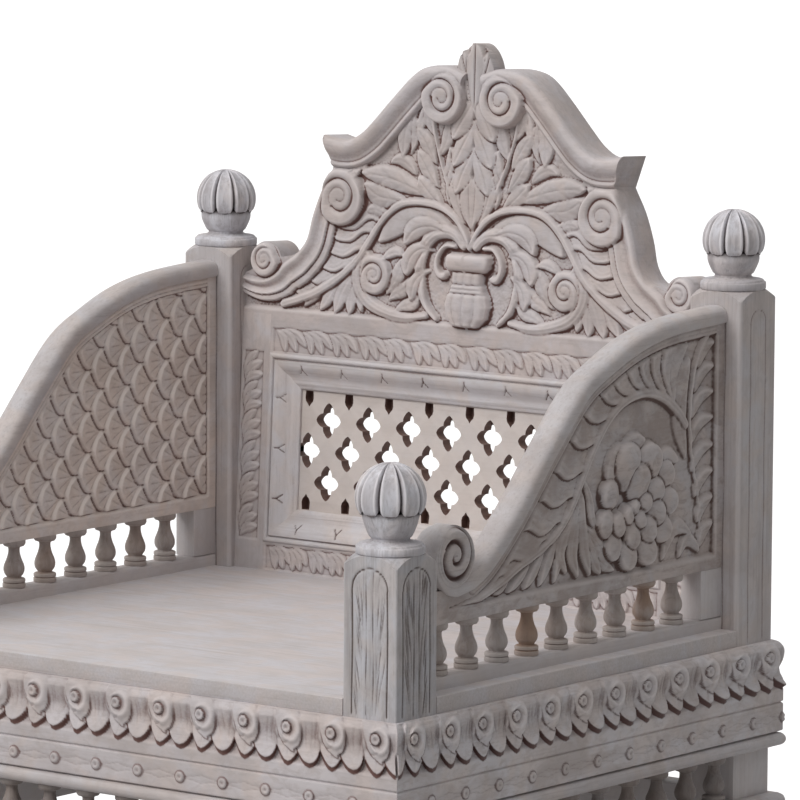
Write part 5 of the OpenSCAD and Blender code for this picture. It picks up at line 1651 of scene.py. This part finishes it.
# %% Pediment carving
def pediment_sheet():
    c = Carving((-1.0, 287), (302, 573), 1.0)
    u, v = c.u, c.v
    # Painted light and shade by slope, stronger than on the other boards.
    c.shade, c.slant = 1.0, 0.6
    pick = np.random.default_rng(11)
    prick = pick.normal(0, 1, u.shape)
    t, s = follow(band_edge, u, v)
    d = s if s[20, 60] > 0 else -s
    width = np.interp(t, [0, 0.72, 0.86, 1], [24, 24, 17, 12])
    q = d * 24 / width
    field = np.minimum(q - 34.5, v - 297.5)
    c.h = GROUND * (1 - soft(field, 1.6)) + (0.45 * np.clip(prick, -1.3, 0.9) * soft(field - 1.5, 2))
    moulding_h = np.where(q < 24.5, 9.4 - 4.2 * np.sin(math.pi * np.clip(q - 3, 0, 21) / 21) ** 1.3, 6.6)
    moulding_h = moulding_h - 1.9 * near(q - 25, 1.1) - 6.5 * (1 - np.clip(q / 7.5, 0, 1)) ** 2.2
    on_band = soft(34.0 - q, 1.4) * (v > 300)
    c.h = c.h * (1 - on_band) + moulding_h * on_band
    c.h -= 1.6 * near(q - 34.8, 1.0) * (v > 300)
    stem = smooth([[0, 378], [8, 394], [20, 408], [38, 418], [62, 422], [86, 420], [104, 411], [119, 396], [132, 378],
                   [146, 358], [164, 341], [186, 326], [210, 314], [244, 303]], 6)
    _, side = follow(stem, u, v)
    gadroons(c, [((226, 301), (252, 309)), ((200, 313), (238, 323)), ((176, 330), (224, 338)), ((160, 347), (209, 352)),
                 ((148, 365), (196, 366)), ((142, 384), (190, 379)), ((136, 398), (186, 392))],
             np.minimum(side - 3.0, field + 0.5), 5.6, span=17.0, reach=34.0)
    # Corner fan, then the side scroll with its leafy body
    for tip, w in (((140, 301), 15), ((218, 302), 15), ((196, 299), 18), ((156, 297), 18), ((176, 297), 19)):
        c.leaf([[146, 350], [(146 + tip[0]) / 2 + 3, (350 + tip[1]) / 2 + 3], list(tip)], w, 4.4, rib=0.8, fat=1.5,
            tilt=-0.15)
    for path, w in (([[110, 322], [100, 334], [92, 348], [87, 363]], 20),
                    ([[106, 316], [96, 324], [84, 330], [77, 342]], 17),
                    ([[98, 306], [84, 312], [72, 316], [62, 326]], 16),
                    ([[118, 356], [108, 364], [96, 368], [86, 364]], 12)):
        c.leaf(path, w, 4.6, veins=0.4, rib=0.8, fat=1.2, tilt=0.15)
    c.stem(smooth([[54, 304], [80, 300], [106, 303], [130, 312], [143, 327], [146, 345], [137, 360]], 5), 21, 5.8, 2,
        (0.4, 0.9), belly=0.1)
    c.volute((124, 342), 22, 6.6, start=-50, sense=1, disc=0.5)
    # Leaves above the stem
    c.leaf([[74, 450], [86, 461], [98, 465], [110, 461]], 15, 3.8, tilt=0.2)
    for path, w, r in (([[106, 405], [117, 408], [127, 411], [138, 409]], 15, 4.4),
                       ([[84, 421], [104, 423], [124, 426], [143, 438]], 25, 4.8),
                       ([[54, 428], [82, 438], [112, 446], [147, 449]], 25, 5.4)):
        c.leaf(path, w, r, veins=0.5, lobes=4, deep=0.05, rib=0.9, fat=1.3, tilt=0.1)
    # Upright spray, outer leaves first
    for path, w, r in (([[72, 526], [85, 510], [91, 492], [92, 468]], 23, 4.8),
                       ([[84, 470], [78, 486], [77, 500], [80, 512]], 12, 4.2),
                       ([[57, 538], [64, 522], [69, 508], [72, 492]], 15, 4.8),
                       ([[48, 462], [58, 478], [66, 490], [74, 500]], 20, 5.2),
                       ([[44, 438], [56, 452], [64, 464], [73, 477]], 21, 5.2),
                       ([[36, 418], [50, 428], [60, 437], [72, 449]], 21, 5.0),
                       ([[50, 490], [58, 504], [60, 516], [57, 530]], 16, 5.0),
                       ([[46, 470], [37, 486], [34, 500], [36, 512]], 18, 5.0),
                       ([[38, 444], [31, 458], [29, 470], [31, 482]], 17, 4.8),
                       ([[28, 418], [30, 432], [28, 446], [30, 458]], 15, 4.6)):
        c.leaf(path, w, r, veins=0.35, lobes=5, deep=0.03, rib=1.0, fat=1.25)
    c.stem(smooth([[14, 404], [28, 432], [41, 462], [51, 492], [55, 514]], 5), 5.5, 5.4, 1)
    # Middle: upright leaves at the bottom, hanging pairs above them
    for path, w, r in (([[1, 540], [6, 526], [10, 512], [17, 500]], 16, 4.4),
                       ([[6, 400], [16, 418], [21, 434], [24, 452]], 20, 5.0),
                       ([[0, 396], [3, 418], [4, 436], [4, 456]], 24, 5.6),
                       ([[-2, 486], [6, 470], [14, 454], [21, 434]], 24, 6.4),
                       ([[-2, 514], [6, 498], [15, 482], [25, 462]], 25, 6.9),
                       ([[-1, 538], [7, 524], [17, 508], [27, 490]], 25, 7.4)):
        c.leaf(path, w, r, rib=1.3, fat=1.25, tilt=-0.15, edge=2.2, cut=2.2)
    # Smooth acanthus under the stem
    c.leaf([[22, 396], [54, 404], [90, 401], [121, 377]], 30, 5.2, rib=0.0, tilt=-0.15, fat=1.15)
    c.stem(stem, 11.5, 7.0, 1, (0.75, 1.0))
    # The curled, fluted leaf beside the vase and its lobes
    c.stem(smooth([[8, 380], [22, 392], [42, 392], [57, 380], [64, 360], [63, 338], [55, 316], [40, 301]], 5), 24, 7.4, 3,
        (0.5, 0.3), belly=0.75)
    for path, w, r in (([[50, 352], [62, 347], [71, 336], [74, 318]], 20, 6.4),
                       ([[46, 372], [62, 374], [76, 364], [82, 344]], 24, 7.0),
                       ([[30, 392], [50, 398], [72, 393], [85, 376]], 24, 7.4)):
        c.leaf(path, w, r, rib=1.1, fat=1.5, tilt=0.15, edge=2.6, cut=1.4)
    c.stem(smooth([[18, 379], [31, 379], [40, 369], [42, 357], [37, 348], [31, 348]], 5), 9, 7.8, 1, (0.7, 1.1))
    # Vase, half round, fluted above and below its band
    half = np.interp(v, [294, 298, 306, 318, 328, 334, 342, 352, 354, 358, 364, 370, 373],
        [14, 20, 27, 29.5, 27, 23, 20.5, 21, 25, 28.5, 29.5, 28.5, 24])
    x = np.clip(u / half, 0, 1)
    flute = np.abs(np.sin(np.arcsin(x) * 6.0)) ** 0.6
    body = 4.0 + 11.0 * np.sqrt(1 - x ** 2) * np.interp(half, [17, 31], [0.75, 1.0])
    body += flute * (1.9 * soft(331 - v, 2) + 1.4 * soft(v - 340, 2) * soft(352.5 - v, 2)) - 1.0
    body += 1.6 * soft(np.abs(v - 335.5) - 3.6, -1.2) - 1.8 * near(v - 335.5, 0.8) - 1.6 * near(v - 330.6,
        1.0) - 1.6 * near(v - 340.4, 1.0)
    body += 2.4 * np.sqrt(np.clip(1 - ((v - 363.5) / 9.5) ** 2, 0, 1)) - 1.8 * near(v - 353.5, 1.1)
    c.lay((slice(None), slice(None)), np.minimum(half - u, np.minimum(v - 295, 373 - v)), body, edge=2.2, cut=1.8)
    # The two scrolls of the shoulder, on a plain rest for the upper one
    rest = soft(v - 451, 1.5) * soft(u - 140, 3)
    c.h = c.h * (1 - rest) + 4.0 * rest
    c.volute((170, 421), 31, 7.6, start=-42, sense=1, base=4.0)
    c.volute((270, 348), 19.5, 5.8, start=190, sense=-1, base=4.0)
    c.h = 0.35 * c.h + 0.65 * blurred(c.h, 1)
    return c


half_pediment = pediment_sheet()
for name, x in (("right", 1), ("left", -1)):
    carved_piece("pediment_" + name, board(half_pediment, PEDIMENT_OUTLINES, PEDIMENT_T - GROUND, back_place(x, -GROUND)),
        CARVED, ["pediment_panel"])

# %% [markdown]
# The swan-neck cornice is a wave moulding that sweeps up from its square-cut tip and rolls into a scroll beside the
# crest. It is carved as a sheet as well, because the scroll and the moulding then run into each other. The height
# follows the distance below the top edge: a rounded nose, a hollow and a fine bead.

# %% Swan-neck cornice and crest leaf
def cornice_sheet():
    c = Carving((-2, 436), (206, 574), 0.95)
    long_neck = np.concatenate([NECK, [NECK[-1] + (NECK[-1] - NECK[-2]) * 4]])
    t, s = follow(long_neck, c.u, c.v)
    d = np.clip(-s, 0, 40)
    c.h = np.interp(d, [0, 0.8, 2, 4, 7, 11, 14, 17, 20, 22.6, 23.6, 24.4, 25.4, 27, 28.6, 30],
                    [2.5, 5.2, 7.2, 9.0, 10.0, 9.6, 8.4, 6.2, 4.4, 3.9, 2.6, 2.6, 4.2, 4.6, 3.6, 1.4])
    c.h += 0.3 * np.sin(t * 40) * near(d - 8, 5)
    c.volute((38, 533), 28, 9.4, start=8, sense=1, base=2.0)
    c.h = 0.4 * c.h + 0.6 * blurred(c.h, 1)
    return c


cornice = cornice_sheet()
lower_line = beside(NECK, -NECK_T)[:-2]
CORNICE_OUTLINES = [np.concatenate([NECK, [[183, 453]], lower_line[lower_line[:, 0] < 180][::-1]]), circle((38, 533), 28)]
crest = Carving((-32, 501), (32, 595), 0.95)
crest.h += 0.5
for x in (-1, 1):
    for path, w in (([[x * 4, 520], [x * 14, 542], [x * 22, 556], [x * 30, 570]], 24),
                    ([[x * 2, 524], [x * 9, 550], [x * 15, 568], [x * 20, 588]], 22)):
        crest.leaf(path, w, 6.4, rib=2.0, base=0.4, fat=1.5, edge=2.6, cut=1.6)
crest.leaf([[0, 512], [0, 548], [0, 574], [0, 598]], 24, 7.4, rib=2.2, base=0.6, fat=1.5, edge=2.6, cut=1.6)
half_crest = [[12, 505], [12, 522], [14, 538], [21.5, 551], [24, 561], [22.5, 570], [19, 578], [14, 585], [7, 590.5]]
CREST_OUTLINE = smooth(half_crest + [[0, 592]] + [[-p[0], p[1]] for p in half_crest[::-1]], 3, closed=True)
for name, x in (("right", 1), ("left", -1)):
    carved_piece("swan_neck_" + name, board(cornice, CORNICE_OUTLINES, PEDIMENT_T + 1.2, back_place(x)), CARVED,
        ["cornice_" + name])
carved_piece("crest_of_leaves", board(crest, CREST_OUTLINE, 15, back_place(1, -3)), CARVED_UP, ["crest_leaf"])
# %% [markdown]
# Three solids are right as they are and only get a finish: the battens under the seat boards are washed wood, the
# dowels under the finials are bare wood, and the seat screws are steel with a faint brushed grain.

# %% Finish
STEEL = bpy.data.materials.new("brushed_steel")
STEEL.use_nodes = True
links, shader = STEEL.node_tree.links, STEEL.node_tree.nodes["Principled BSDF"]
place = STEEL.node_tree.nodes.new("ShaderNodeTexCoord")
scratch = STEEL.node_tree.nodes.new("ShaderNodeTexNoise")
scratch.inputs["Scale"].default_value = 900
tone = STEEL.node_tree.nodes.new("ShaderNodeValToRGB")
tone.color_ramp.elements[0].color, tone.color_ramp.elements[1].color = linear(120, 120, 124), linear(168, 168, 172)
links.new(place.outputs["Object"], scratch.inputs["Vector"])
links.new(scratch.outputs["Fac"], tone.inputs["Fac"])
links.new(tone.outputs["Color"], shader.inputs["Base Color"])
shader.inputs["Metallic"].default_value = 1.0
shader.inputs["Roughness"].default_value = 0.38
FINISH_OF = {"seat_screws": STEEL, "finial_dowels": AMBER, "seat_battens": WOOD_Y}
for name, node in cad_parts.items():
    if not node.hide_render:
        node.data.materials.clear()
        node.data.materials.append(FINISH_OF.get(name, WOOD_Z))
        print("finish", name)
